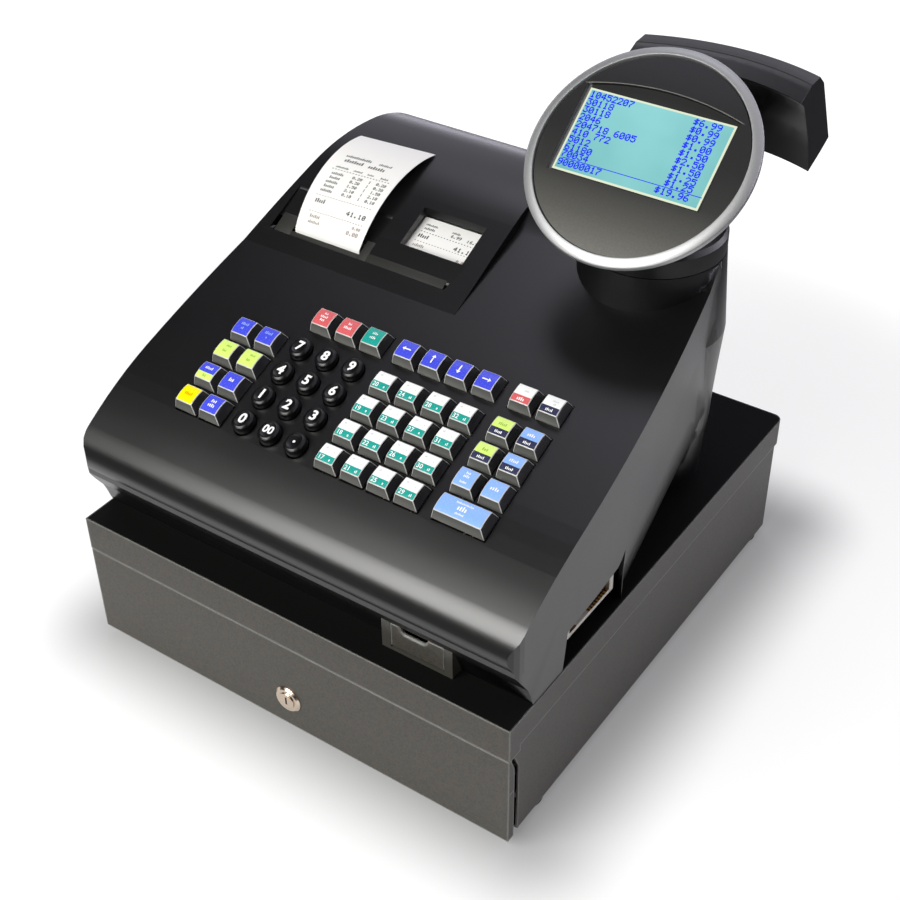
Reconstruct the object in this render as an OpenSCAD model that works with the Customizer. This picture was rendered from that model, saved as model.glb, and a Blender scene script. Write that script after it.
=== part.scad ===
// Electronic cash register with a key-locked drawer, a two-station printer and a swivelling display.
// All sizes are in millimetres. The origin is in the middle of the base, on the counter top, and
// the operator stands on the -Y side.

/* [Cabinet and drawer] */
// Width of the cabinet across the lid
cabinet_w = 360; // [340:1:380]
// Depth of the cabinet, front to rear
cabinet_d = 386.4; // [380:1:400]
// Height of the lid above the bottom panel
cabinet_h = 104.7; // [100:0.5:112]
// Height of the lid's front flange
flange_h = 27.6; // [24:0.2:30]
// Height of the lid's side skirts
skirt_h = 22; // [18:1:24]
// Thickness of the cabinet's sheet steel
sheet = 1.5; // [1:0.1:2]
// Height of the rubber feet
foot_h = 8; // [6:1:12]
// Depth of the drawer's sheet steel box
drawer_d = 347; // [330:1:348]

/* [Register case] */
// Slope of the key deck
deck_tilt = 20; // [18:0.5:21]
// Wall thickness of the moulded covers
wall = 2.5; // [2:0.1:3]

/* [Keys] */
// Spacing of the function keys
key_pitch = 21.2; // [20.8:0.1:21.6]
// Spacing of the number keys
number_pitch = 22.2; // [21.8:0.1:22.6]
// Width of a function key at the deck
key_w = 18; // [17:0.2:18.4]
// Height of the function keys above the deck
key_h = 9; // [8:0.2:9.6]

/* [Printer] */
// Width of the receipt and journal paper
paper_w = 57.5; // [56:0.5:58]
// Radius of the receipt roll
receipt_r = 30; // [15:1:31]
// Radius of the journal roll
journal_r = 21; // [12:1:22]

/* [Displays] */
// Outer radius of the operator display's ring
ring_r = 78.5; // [74:0.5:80]
// Angle of the operator display's face above the vertical plane
display_lean = 51.5; // [48:0.5:54]
// Width of the customer display
customer_w = 130; // [110:2:134]

/* [Hidden] */
$fn = 64;

// Clearances
gap = 0.3;
key_gap = 0.7;
run = 0.05;

// The measured frame has x = 0 in the middle of the cabinet, y = 0 at its front and z = 0 at the
// bottom panel; placed() moves it to the part's own frame.
half_w = cabinet_w / 2;
lock_front = -3;
customer_c = [110, 224];
customer_r = 193.3;
rear_y = customer_c[1] + customer_r;
turret = [110, 281];
mid_x = (turret[0] + ring_r - half_w) / 2;
mid_y = (rear_y + lock_front) / 2;
module placed() {
    translate([-mid_x, -mid_y, foot_h]) children();
}

// Points of an arc round [cx, cy] from angle a to angle b
function arc(cx, cy, r, a, b, n) =
    [for (i = [0 : n]) [cx + r * cos(a + (b - a) * i / n), cy + r * sin(a + (b - a) * i / n)]];
// Right-hand normal of the line from a to b
function right_normal(a, b) = [b[1] - a[1], a[0] - b[0]] / norm(b - a);
// The open line p moved to its right by d
function beside(p, d) = [for (i = [0 : len(p) - 1])
    let (n1 = i == 0 ? right_normal(p[0], p[1]) : right_normal(p[i - 1], p[i]),
         n2 = i == len(p) - 1 ? n1 : right_normal(p[i], p[i + 1]))
    p[i] + d * (n1 + n2) / (1 + n1 * n2)];
function reversed(p) = [for (i = [len(p) - 1 : -1 : 0]) p[i]];
// A strip of thickness t that follows the open line p
function strip(p, t) = concat(beside(p, t / 2), reversed(beside(p, -t / 2)));

// A profile in the YZ plane made solid from x = a to x = b
module along_x(a, b) {
    translate([a, 0, 0]) rotate([90, 0, 90]) linear_extrude(b - a) children();
}
// A profile in the XZ plane made solid from y = a to y = b
module along_y(a, b) {
    translate([0, b, 0]) rotate([90, 0, 0]) linear_extrude(b - a) children();
}
// A rod along X between x = a and x = b
module rod_x(a, b, y, z, r) {
    translate([a, y, z]) rotate([0, 90, 0]) cylinder(h = b - a, r = r);
}
// A box from corner a to corner b
module box(a, b) {
    translate(a) cube(b - a);
}
module rounded_rect(w, d, r) {
    for (x = [-1, 1])
        for (y = [-1, 1])
            translate([x * (w / 2 - r), y * (d / 2 - r)]) circle(r);
    square([w - 2 * r, d], center = true);
    square([w, d - 2 * r], center = true);
}

// ---- Lines that the case is built on ----
deck_z = 178.4;
slope = tan(deck_tilt);
function deck_at(y) = deck_z + slope * y;
// Half width of the case at depth y: parallel at the front and drawn in along an arc to the rear
function case_w(y) = 179.5 - pow(max(0, y - 60), 2) / 2488;

// One bend of the nose: from angle a to angle b at radius r, forward and down from point p
function nose_bend(p, r, a, b, n) = [for (i = [1 : n]) let (t = a + (b - a) * i / n)
    [p[0] - r * (sin(t) - sin(a)), p[1] - r * (cos(a) - cos(t))]];
nose_start = [80, deck_at(80)];
nose_upper = nose_bend(nose_start, 300, deck_tilt, 33, 6);
nose_middle = nose_bend(nose_upper[5], 40, 33, 50, 5);
nose_lower = nose_bend(nose_middle[4], 20, 50, 120, 12);
nose = reversed(concat([nose_start], nose_upper, nose_middle, nose_lower));
lip = [9, 141.5];

// The top behind the deck: two arcs that meet at the peak and turn down to the rear
peak = [321.4, 293.9];
front_arc_r = 150;
rear_arc_r = 60;
hump_front = [185, deck_at(185)];
function crest(s) = s < 0
    ? [peak[0] + front_arc_r * sin(s), peak[1] - front_arc_r * (1 - cos(s))]
    : [peak[0] + rear_arc_r * sin(s), peak[1] - rear_arc_r * (1 - cos(s))];
case_rear = 380;
seam_z = 228;
ramp_line = concat([[263, deck_at(263)]], [for (s = [-14 : 3.5 : -1]) crest(s)],
    [for (s = [0 : 5 : 75]) crest(s)]);
seam_knee = [257, seam_z];

// Plan of the case: drawn-in sides, a full rounded corner at the left rear and a wide one at the
// right rear, where the turret column stands
left_corner_r = 40;
right_corner = [60, 300];
plan_line = concat(
    arc(-169.5, 15, 10, 180, 270, 4),
    arc(169.5, 15, 10, 270, 360, 4),
    [for (y = [60 : 20 : 260]) [case_w(y), y]],
    [[case_w(turret[1]), turret[1]]],
    arc(right_corner[0], right_corner[1], 80, 10, 90, 12),
    arc(-case_w(340) + left_corner_r, 340, left_corner_r, 90, 180, 9),
    [for (y = [320 : -20 : 60]) [-case_w(y), y]]
);
function closed_inset(p, d) = [for (i = [0 : len(p) - 1])
    let (a = p[(i + len(p) - 1) % len(p)], b = p[i], c = p[(i + 1) % len(p)],
         n1 = -right_normal(a, b), n2 = -right_normal(b, c))
    b + d * (n1 + n2) / (1 + n1 * n2)];
module case_plan(inset) {
    linear_extrude(330) polygon(closed_inset(plan_line, inset));
}

// ---- Key grid: x across, v up the slope from y = 0, keys numbered from the far left ----
number_origin = [-68.5, 127.6];
left_origin = [-114.6, 124.6];
department_origin = [4.9, 125.3];
right_origin = [97, 126.1];
top_v = 154;
top_three_x = -65;
top_arrow_x = 4.9;
top_pair_x = 96.7;
board_depth = 12;
module on_deck(x = 0, v = 0, h = 0) {
    translate([0, 0, deck_z]) rotate([deck_tilt, 0, 0]) translate([x, v, h]) children();
}
left_spots = [for (r = [0 : 3]) for (c = [0 : 1]) left_origin + key_pitch * [c, -r]];
department_spots = [for (r = [0 : 3]) for (c = [0 : 3]) department_origin + key_pitch * [c, -r]];
right_spots = [for (r = [0 : 2]) for (c = [0 : 1]) right_origin + key_pitch * [c, -r]];
top_spots = concat(
    [for (c = [0 : 2]) [top_three_x + key_pitch * c, top_v]],
    [for (c = [0 : 3]) [top_arrow_x + key_pitch * c, top_v]],
    [for (c = [0 : 1]) [top_pair_x + key_pitch * c, top_v]]
);
number_spots = [for (r = [0 : 3]) for (c = [0 : 2]) number_origin + number_pitch * [c, -r]];
total_spot = right_origin + key_pitch * [0.5, -3];
number_w = 14.4;
number_l = 16.6;
stem = 8;

// Outline of a function key between its skirts' edge and its top, seen from the side or the front
key_skirt = 1;
key_taper = 2.4;
key_crown = 1;
function key_line(half) = [[-half, -key_skirt], [half, -key_skirt], [half, 0.6], [half - 0.7, 3.2],
    [half - key_taper, key_h], [-half + key_taper, key_h], [-half + 0.7, 3.2], [-half, 0.6]];
module key_stem() {
    box([-stem / 2, -stem / 2, -board_depth + 6], [stem / 2, stem / 2, -0.5]);
}
// A function key: skirts that flare out to the deck, a top that is crowned from front to rear and
// a square stem
module function_key(spot, wide = 0) {
    half = key_w / 2;
    crown_r = (pow(half - key_taper, 2) + pow(key_crown, 2)) / (2 * key_crown);
    on_deck(spot[0], spot[1]) {
        intersection() {
            along_y(-half, half) polygon(key_line(half + wide));
            along_x(-half - wide, half + wide) intersection() {
                polygon(key_line(half));
                translate([0, key_h - crown_r]) circle(crown_r);
            }
        }
        key_stem();
    }
}
// A number key: an upright oval with a stepped crown
module number_key(spot) {
    on_deck(spot[0], spot[1]) {
        translate([0, 0, -key_skirt]) linear_extrude(4.4 + key_skirt) oval(number_w, number_l);
        translate([0, 0, 4.4]) linear_extrude(1.2) oval(number_w - 1.2, number_l - 1.2);
        translate([0, 0, 5.6]) linear_extrude(0.8) oval(number_w - 3, number_l - 3);
        key_stem();
    }
}
module oval(w, l) {
    for (y = [-1, 1]) translate([0, y * (l - w) / 2]) circle(w / 2);
    square([w, l - w], center = true);
}

// ---- Printer ----
// The cover's barrel touches the crest from inside at this angle and turns in open cradles
hinge_s = 30.6;
hinge_r = 5;
hinge = crest(hinge_s) - hinge_r * [sin(hinge_s), cos(hinge_s)];
cradle_x = [-150, -76, 6];
cradle_t = 4;
cover_right = 13.5;
cover_floor = 274.4;
platen = [212, 236];
platen_r = 8;
receipt_axis = [296, 243];
journal_axis = [312, 246];
takeup_axis = [263, 248];
takeup_r = 12;
receipt_x = -136.6;
journal_x = -61;
frame_x = [-144, -70, 4];
frame_t = 2.5;
shaft_r = 3;
core_r = 7;
gear_module = 1;
platen_teeth = 24;
pinion_teeth = 12;
pinion = platen + [0, -gear_module * (platen_teeth + pinion_teeth) / 2];

// A spur gear's outline with straight-flanked teeth
function gear_line(teeth, phase) = [for (i = [0 : teeth - 1]) for (k = [0 : 3])
    let (half = [0.30, 0.13, 0.13, 0.30][k] * 360 / teeth * (k < 2 ? -1 : 1),
         r = gear_module * teeth / 2 + (k == 1 || k == 2 ? 0.9 : -1.15) * gear_module,
         a = 360 * i / teeth + phase + half)
    [r * cos(a), r * sin(a)]];

// ==== Cabinet ====
shell_half = half_w - 1.4;
shell_front = 12.9;
tab_front = 7.2;
shell_rear = cabinet_d - 1.4;
shell_top = cabinet_h - sheet;
module tub_plan(half, front, rear, r) {
    translate([-half, front]) square([2 * half, rear - front - r]);
    translate([-half + r, front]) square([2 * half - 2 * r, rear - front]);
    for (x = [-1, 1]) translate([x * (half - r), rear - r]) circle(r);
}
module cabinet_shell() placed() color("#2a2926") {
    difference() {
        linear_extrude(shell_top) tub_plan(shell_half, tab_front, shell_rear, 6);
        // front edge of the side panels, drawn forward under the lid
        along_x(-half_w, half_w) polygon([[0, -1], [shell_front, -1], [shell_front, 61.5],
            [tab_front, 74.5], [tab_front - 1, 75.5], [0, 75.5]]);
        translate([0, 0, sheet]) linear_extrude(cabinet_h)
            tub_plan(shell_half - sheet, tab_front - 5, shell_rear - sheet, 5);
        for (x = [-80 : 40 : 80])
            for (y = [110 : 60 : 290])
                translate([x, y, -1]) linear_extrude(4) rounded_rect(24, 5, 2.4);
    }
    for (side = [-1, 1]) {
        // boss of the front roller
        difference() {
            rod_x(side > 0 ? 174.7 : -shell_half + sheet, side > 0 ? shell_half - sheet : -174.7,
                front_roller_y, roller_z, 5);
            rod_x(side > 0 ? 170 : -shell_half + sheet, side > 0 ? shell_half - sheet : -170,
                front_roller_y, roller_z, 2.5 + run);
        }
        for (z = [10, 28.2])
            box([side > 0 ? 166.5 : -shell_half + sheet, 50, z],
                [side > 0 ? shell_half - sheet : -166.5, 372, z + sheet]);
        box([side > 0 ? shell_half - 10 : -shell_half + sheet, shell_front, 60],
            [side > 0 ? shell_half - sheet : -shell_half + 10, shell_front + sheet, 100]);
    }
}
module cabinet_lid() placed() color("#33322e") {
    difference() {
        translate([0, 0, cabinet_h - skirt_h]) linear_extrude(skirt_h)
            tub_plan(half_w, 0, cabinet_d, 7);
        translate([0, 0, cabinet_h - skirt_h - 1]) linear_extrude(skirt_h + 1 - sheet)
            tub_plan(half_w - 1.3, sheet, cabinet_d - 1.3, 6);
    }
    box([-half_w, 0, cabinet_h - flange_h], [half_w, sheet, cabinet_h - 1]);
    for (side = [-1, 1])
        box([side > 0 ? half_w - 1.3 : -half_w, 0, cabinet_h - flange_h],
            [side > 0 ? half_w : -half_w + 1.3, 12.5, cabinet_h - 1]);
}
module rubber_feet() placed() color("#141414") {
    for (x = [-165, 165])
        for (y = [44, 367])
            translate([x, y, -foot_h]) rotate_extrude()
                polygon([[0, 0], [10, 0], [12, 2], [12.5, foot_h], [0, foot_h]]);
}
roller_z = 14.8;
front_roller_y = 34;
module front_rollers() placed() color("#d8d6cf") {
    for (side = [-1, 1]) {
        rod_x(side * 170.5 - 3.8, side * 170.5 + 3.8, front_roller_y, roller_z, 8.9);
        rod_x(side * 172.5 - 4.5, side * 172.5 + 4.5, front_roller_y, roller_z, 2.5);
    }
}
rear_roller = [332, 19.8];
module rear_rollers() placed() color("#d8d6cf") {
    for (side = [-1, 1]) {
        rod_x(side * 171 - 3.8, side * 171 + 3.8, rear_roller[0], rear_roller[1], 8);
        rod_x(side * 167 - 4.4, side * 167 + 4.4, rear_roller[0], rear_roller[1], 2.5);
    }
}

latch_pivot = [376, 22];
latch_drop = 22;
striker = [362, 33];
module latch_solenoid() placed() color("#8f8a7a") {
    for (x = [-9.5, 7.5])
        box([x, 370, sheet], [x + 2, 382, 28]);
    box([-9.5, 366, sheet], [9.5, 382, sheet + 1.5]);
    rod_x(-9, 9, latch_pivot[0], latch_pivot[1], 2);
    box([-44, 357, sheet], [-14, 381, 30]);
    rod_x(-14, -9.5, 369, 15, 4);
    box([-48, 360, sheet], [-10, 378, sheet + 1.5]);
}
module latch_hook() placed() color("#b9b5ab") {
    translate([0, latch_pivot[0], latch_pivot[1]]) rotate([latch_drop, 0, 0])
        translate([0, -latch_pivot[0], -latch_pivot[1]])
            difference() {
                along_x(-5, 5) polygon(concat(
                    [[355, 20], [372, 18.5]],
                    arc(latch_pivot[0], latch_pivot[1], 5, -60, 100, 8),
                    [[370, 25.5], [358.9, 25.5], [358.9, 36], [357.5, 36.5], [355, 33]]));
                rod_x(-6, 6, latch_pivot[0], latch_pivot[1], 2 + run);
            }
}
module ejector_spring() placed() color("#a7a49c") {
    along_x(60, 78) polygon(strip(concat([[shell_rear - sheet - 0.8, 20]],
        [for (i = [0 : 10]) [381.5 - 30.6 * sin(18 * i), 24 + 4 * i]],
        [[shell_rear - sheet - 0.8, 68]]), 0.8));
}

// ==== Drawer ====
pan_top = cabinet_h - flange_h - 0.7;
pan_d = 6.5;
pan_seam_z = 45;
lock_spot = [-0.8, 26.3];
module drawer_front() placed() color("#2e2d29") {
    difference() {
        box([-half_w + 0.3, 0, 0.4], [half_w - 0.3, pan_d, pan_top]);
        box([-half_w + 0.3 + sheet, sheet, 0.4 + sheet], [half_w - 0.3 - sheet, pan_d + 1, pan_top - sheet]);
        // chamfered corners and the seam of the side returns
        for (side = [0, 1]) mirror([side, 0, 0]) {
            along_x(half_w - 0.3 - sheet, half_w) polygon([[3, pan_top + 1], [pan_d + 1, pan_top + 1],
                [pan_d + 1, 62], [pan_d, 65], [3, 75]]);
            box([half_w - 0.3 - sheet / 2, sheet, pan_seam_z], [half_w, pan_d + 1, pan_seam_z + 0.5]);
        }
        translate([lock_spot[0], -1, lock_spot[1]]) rotate([-90, 0, 0]) cylinder(h = 4, r = 9);
    }
}
box_half = 164;
box_floor = 12;
box_top = 70;
drawer_back = 3 + drawer_d;
module drawer_box() placed() color("#3a3935") {
    difference() {
        box([-box_half, sheet, box_floor], [box_half, drawer_back, box_top]);
        box([-box_half + sheet, sheet + 1.2, box_floor + sheet],
            [box_half - sheet, drawer_back - sheet, box_top + 1]);
        translate([lock_spot[0], -1, lock_spot[1]]) rotate([-90, 0, 0]) cylinder(h = 6, r = 9);
        rod_x(-box_half - 2, box_half + 2, rear_roller[0], rear_roller[1], 2.5 + run);
    }
    for (side = [-1, 1])
        box([side > 0 ? box_half : -174.5, 20, 24], [side > 0 ? 174.5 : -box_half, 318, 24 + sheet]);
    for (x = [-10, 8])
        box([x, drawer_back - 0.5, 29], [x + 2, 365, 37]);
    rod_x(-9, 9, striker[0], striker[1], 2.5);
}
tray_wall = 2;
tray_half = 161;
tray_y = [26, 346];
tray_split = 148;
cell_w = (2 * tray_half - 6 * tray_wall) / 5;
tray_z = [box_floor + sheet, 68];
cell_floor = 16;
cup_ramp = 10;
clip_axis = [tray_y[1] - 7, 62];
clip_w = 12;
function cell_x(i) = -tray_half + tray_wall + i * (cell_w + tray_wall);
// The money tray: a coin case that lifts out, and the tray with the bill cells behind it
module money_tray() placed() color("#1c1c1c") {
    difference() {
        box([-tray_half, tray_y[0], tray_z[0]], [tray_half, tray_split, tray_z[1]]);
        for (i = [0 : 4]) along_x(cell_x(i), cell_x(i) + cell_w) coin_cup();
    }
    difference() {
        box([-tray_half, tray_split + gap, tray_z[0]], [tray_half, tray_y[1], tray_z[1]]);
        for (i = [0 : 4]) {
            box([cell_x(i), tray_split + gap + tray_wall, cell_floor], [cell_x(i) + cell_w, tray_y[1] - 14, 80]);
            box([clip_x(i) - clip_w / 2 - gap, tray_y[1] - 15, 55], [clip_x(i) + clip_w / 2 + gap, tray_y[1] + 1, 80]);
        }
        rod_x(-tray_half + 1, tray_half - 1, clip_axis[0], clip_axis[1], 1.5 + run);
    }
}
// Side view of a coin cup, with a ramp at the front that coins slide up
module coin_cup() {
    front = tray_y[0] + tray_wall;
    rear = tray_split - tray_wall;
    polygon([[front, cell_floor + cup_ramp], [front + cup_ramp, cell_floor], [rear, cell_floor], [rear, 80],
        [front, 80]]);
}
function clip_x(i) = cell_x(i) + cell_w / 2;
module bill_clip(i) placed() color("#9c9a92") {
    x = [clip_x(i) - clip_w / 2, clip_x(i) + clip_w / 2];
    along_x(x[0], x[1]) polygon(strip([clip_axis + [-3, 0], clip_axis + [-24, -2], [280, 28],
        [272, 21.5], [262, 20.5], [256, 24]], 1.8));
    rod_x(x[0], x[1], clip_axis[0], clip_axis[1], 4);
    rod_x(x[0] - 3, x[1] + 3, clip_axis[0], clip_axis[1], 1.5);
}
module bill_clip_1() bill_clip(0);
module bill_clip_2() bill_clip(1);
module bill_clip_3() bill_clip(2);
module bill_clip_4() bill_clip(3);
module bill_clip_5() bill_clip(4);

module at_lock() {
    translate([lock_spot[0], 0, lock_spot[1]]) rotate([-90, 0, 0]) children();
}
module lock_housing() placed() color("#b8aa9a") {
    difference() {
        at_lock() {
            rotate_extrude() polygon([[0, -2.2], [9.2, -2.2], [10.8, -0.8], [10.8, 0], [8.9, 0],
                [8.9, 18], [0, 18]]);
        }
        at_lock() translate([0, 0, -5]) cylinder(h = 30, r = 6.5 + run);
    }
}
module lock_cylinder() placed() color("#c9bcab") {
    difference() {
        at_lock() {
            translate([0, 0, lock_front]) cylinder(h = 24, r = 6.5);
            translate([-4, -3, 19]) cube([8, 12, 2]);
        }
        at_lock() translate([-0.7, -3.6, lock_front - 1]) cube([1.4, 7.2, 10]);
    }
}

// ==== Register case ====
cut_out = [[61, 103], [63, 114], [66, 134.7], [70, 135.5], [132, 138.6], [137, 141.5], [142, 146.8],
    [140.5, 130], [140, 103]];
cove_line = [[27, cabinet_h], [25.5, 108.5], [23.6, 115], [21, 122], [14, 133], lip];
function seam_at(y) = y < seam_knee[0]
    ? lip[1] + (seam_knee[1] - lip[1]) * (y - lip[0]) / (seam_knee[0] - lip[0])
    : seam_z;
side_fall = 6.4;
tuck_r = 154;
straight_h = 42;
bay_x = [71, 126];
bay_y = 17;
door_x = [78, 120];
recess_x = 153.5;
module lower_body(inset) {
    intersection() {
        along_x(-200, 200) polygon(inset == 0
            ? concat(cove_line, [seam_knee, [case_rear, seam_z], [case_rear, cabinet_h]])
            : concat([[27.2 + inset, cabinet_h + inset]], [for (i = [1 : 5]) beside(cove_line, inset)[i]],
                [[lip[0] + inset, 150], [seam_knee[0], 240],
                [case_rear - inset, 240], [case_rear - inset, cabinet_h + inset]]));
        case_plan(inset);
    }
}
// The lower body with its sides tucked in behind the cut-out
module tucked_body(inset) {
    intersection() {
        lower_body(inset);
        union() {
            box([-190, 0, 100], [190, 141, 240]);
            intersection_for (side = [0, 1]) mirror([side, 0, 0])
                translate([case_w(150) - inset, 150, seam_at(150)]) rotate([0, 0, side_fall])
                    rotate([deck_tilt - 1, 0, 0]) along_y(-60, 260) polygon(concat(
                        [[-500, 150], [0, 150], [0, -straight_h]],
                        [for (a = [4 : 4 : 40]) [-tuck_r * (1 - cos(a)), -straight_h - tuck_r * sin(a)]],
                        [[-500, -150]]));
        }
    }
}
column_line = [[46, cabinet_h], [47.4, 134], [49.5, 152], [50.1, 170], [51.7, 197], [54, seam_z]];
module lower_case() placed() color("#232321") {
    difference() {
        union() {
            tucked_body(0);
            translate([turret[0], turret[1], 0]) rotate_extrude()
                polygon(concat([[0, cabinet_h]], column_line, [[0, seam_z]]));
            box([bay_x[0], bay_y, cabinet_h], [bay_x[1], 40, 136]);
        }
        difference() {
            union() {
                tucked_body(3);
                translate([turret[0], turret[1], 0]) rotate_extrude()
                    polygon([[0, cabinet_h + 3], [43, cabinet_h + 3], [46.5, 152], [51, seam_z + 1], [0, seam_z + 1]]);
            }
            box([bay_x[0] - 2, 0, 100], [bay_x[1] + 2, 62, 138]);
        }
        for (side = [0, 1]) mirror([side, 0, 0]) along_x(150, 200) polygon(cut_out);
        // card bay behind the door
        box([door_x[0], bay_y - 5, cabinet_h + 2], [door_x[1], 50, 128.5]);
        rod_x(door_x[0] - 4, door_x[1] + 4, door_axis[0], door_axis[1], 1.5 + run);
        // cooling slots and the cable bush in the rear
        for (x = [-120 : 14 : 20]) box([x, case_rear - 6, 130], [x + 5, case_rear + 2, 190]);
        translate([70, case_rear - 8, 126]) rotate([-90, 0, 0]) cylinder(h = 20, r = 7);
    }
    // walls of the side recess
    for (side = [0, 1]) mirror([side, 0, 0]) {
        box([recess_x - wall, 58, cabinet_h], [recess_x, 145, 150]);
        box([recess_x - wall, 58, cabinet_h], [176, 61, 134]);
        box([recess_x - wall, 58, 147], [176, 145, 150]);
        box([recess_x - wall, 142.5, cabinet_h], [171, 145, 150]);
    }
}
module upper_profile(inset) {
    polygon(inset == 0
        ? concat([lip], nose, ramp_line, [[case_rear, crest(75)[1] - 2], [case_rear, seam_z], seam_knee])
        : concat(beside(concat([lip], nose, ramp_line, [[case_rear, crest(75)[1] - 2], [case_rear, seam_z]]),
            inset), [[case_rear - inset, seam_z - 20], [seam_knee[0], seam_z - 20], [lip[0] + inset, 120]]));
}
// The space of the hinged printer cover, grown by d
module cover_space(d) {
    along_x(-200, cover_right + d) polygon(concat(
        [[hump_front[0] - d, hump_front[1] - d * slope]], [[263 - d, cover_floor - d]],
        [[hinge[0] - 4, cover_floor - d]], arc(hinge[0], hinge[1], hinge_r + 2 * d, 240, 420, 12),
        [[hinge[0], 320], [hump_front[0] - d, 320]]));
}
column_top = 287.5;
turret_r = 49.5;
module upper_cover() placed() color("#26262a") {
    cover_cradles();
    difference() {
        union() {
            intersection() {
                along_x(-200, 200) upper_profile(0);
                case_plan(0);
            }
            translate([turret[0], turret[1], 0]) rotate_extrude()
                polygon([[0, seam_z], [54, seam_z], [turret_r, 290], [0, 290]]);
        }
        difference() {
            intersection() {
                along_x(-200, 200) upper_profile(wall);
                case_plan(wall);
            }
            // turret socket
            translate([turret[0], turret[1], 262]) cylinder(h = 60, r = 30);
        }
        translate([turret[0], turret[1], 0]) rotate_extrude()
            polygon([[0, seam_z - 1], [51.5, seam_z - 1], [48.5, 262], [0, 262]]);
        translate([turret[0], turret[1], 250]) cylinder(h = 60, r = 20 + run);
        cover_space(gap);
        intersection() {
            box([-200, 200, 240], [6, 334, 300]);
            case_plan(wall + 5);
        }
        // pocket for the foot of the turret head
        translate([turret[0], turret[1], column_top]) cylinder(h = 40, r = turret_r + 0.5);
        for (spot = concat(left_spots, department_spots, right_spots, top_spots))
            key_window(spot, key_w + 2 * key_gap, key_w + 2 * key_gap);
        key_window(total_spot, key_w + key_pitch + 2 * key_gap, key_w + 2 * key_gap);
        for (spot = number_spots)
            on_deck(spot[0], spot[1], -6) linear_extrude(12) oval(number_w + 2 * key_gap, number_l + 2 * key_gap);
    }
}
// Cradles under the printer cover's barrel
module cover_cradles() {
    intersection() {
        along_x(-200, 200) upper_profile(wall / 2);
        case_plan(wall / 2);
        for (x = cradle_x)
            along_x(x, x + cradle_t) difference() {
                polygon([[hinge[0] - 2.5, 266], [390, 266], [390, 300], [hinge[0] + 8.5, 300],
                    [hinge[0] + 8.5, hinge[1] - 1], [hinge[0] - 2.5, hinge[1] - 1]]);
                translate(hinge) circle(hinge_r + run);
            }
    }
}
module key_window(spot, w, l) {
    on_deck(spot[0], spot[1], -6) linear_extrude(12) square([w, l], center = true);
}

// ==== Printer cover ====
recess_front = 199;
panel_start = [205.5, 254];
module cover_profile() {
    polygon(concat(hump_line_to_hinge, [hinge, [hinge[0] - 4, cover_floor], [263, cover_floor]]));
    translate(hinge) circle(hinge_r);
}
hump_line_to_hinge = concat([hump_front], [for (s = [-25 : 2.5 : 0]) crest(s)], [for (s = [5 : 5 : 30]) crest(s)]);
slot_y = [202.4, 206.2];
module printer_cover() placed() color("#26262a") {
    difference() {
        intersection() {
            along_x(-200, cover_right) cover_profile();
            case_plan(0);
        }
        // inside
        intersection() {
            along_x(-200, cover_right - wall) polygon(concat(
                [[195, 240]], beside([[195, hump_line_at(195)], [204, hump_line_at(204)], [238, 268.5],
                    crest(-25), crest(-15), crest(-7), crest(0), crest(10), crest(18)], 4.6),
                [[hinge[0] - 8, 240]]));
            case_plan(wall);
        }
        // sunk panel with its slot line
        sunk_panel();
        // scoop that the receipt leaves by, and its slot
        along_x(-161, -75) polygon([[200, 252.6], [206.5, 252.6], [236, 268], [246, 281], [228, 285], [200, 262]]);
        box([receipt_x - 6, slot_y[0], 240], [receipt_x + paper_w + 2, slot_y[1], 256]);
        // journal window
        box([-57, 220, 240], [-4, 251, 300]);
    }
}
function hump_line_at(y) = hump_front[1] + (y - hump_front[0]) * tan(25);
module sunk_panel() {
    intersection() {
        along_x(-161, 0) polygon([[recess_front, 300], [recess_front, hump_line_at(recess_front) - 2.6],
            panel_start - [2, 2], panel_start, [236, 271.0], [240, 275], [240, 300]]);
        linear_extrude(400) polygon([[-161, 190], [-7, 190], [5, 245], [-148, 245]]);
    }
}

module printer_frame() placed() color("#5a5a56") {
    for (x = frame_x)
        difference() {
            along_x(x, x + frame_t) polygon([[206, 150], [322, 150], [334, 232], [330, 258], [300, 262],
                [248, 262], [222, 246], [202, 246], [202, 224], [206, 220]]);
            rod_x(x - 1, x + 4, platen[0], platen[1], shaft_r + run);
            rod_x(x - 1, x + 4, receipt_axis[0], receipt_axis[1], shaft_r + run);
            rod_x(x - 1, x + 4, journal_axis[0], journal_axis[1], shaft_r + run);
            rod_x(x - 1, x + 4, takeup_axis[0], takeup_axis[1], shaft_r + run);
            rod_x(frame_x[0] - 1, frame_x[0] + 4, pinion[0], pinion[1], 1.5 + run);
        }
    box([frame_x[0], 206, 150], [frame_x[2] + frame_t, 322, 152.5]);
    // print heads
    for (x = [receipt_x, journal_x])
        box([x - 1, 202, 226], [x + paper_w + 1, platen[0] - platen_r - 0.6, 243]);
    box([frame_x[0], 202, 226], [frame_x[2] + frame_t, 203, 240]);
    for (x = [-120, -40])
        box([x, 240, case_floor], [x + 12, 300, 152]);
}
module platen_roller() placed() color("#3c3c3c") {
    for (x = [receipt_x, journal_x])
        rod_x(x, x + paper_w, platen[0], platen[1], platen_r);
    rod_x(frame_x[0] - 8, frame_x[2] + frame_t + 1, platen[0], platen[1], shaft_r);
    translate([frame_x[0] - 7, platen[0], platen[1]]) rotate([90, 0, 90])
        linear_extrude(5) polygon(gear_line(platen_teeth, 90));
}
module feed_motor() placed() color("#77756e") {
    difference() {
        rod_x(frame_x[0] + frame_t, frame_x[0] + 30, pinion[0], pinion[1], 8.6);
        rod_x(frame_x[0], frame_x[0] + 18, pinion[0], pinion[1], 1.5 + run);
    }
    box([frame_x[0] + frame_t, pinion[0] - 5, pinion[1] - 14], [frame_x[0] + 30, pinion[0] + 5, pinion[1] - 7]);
}
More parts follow.
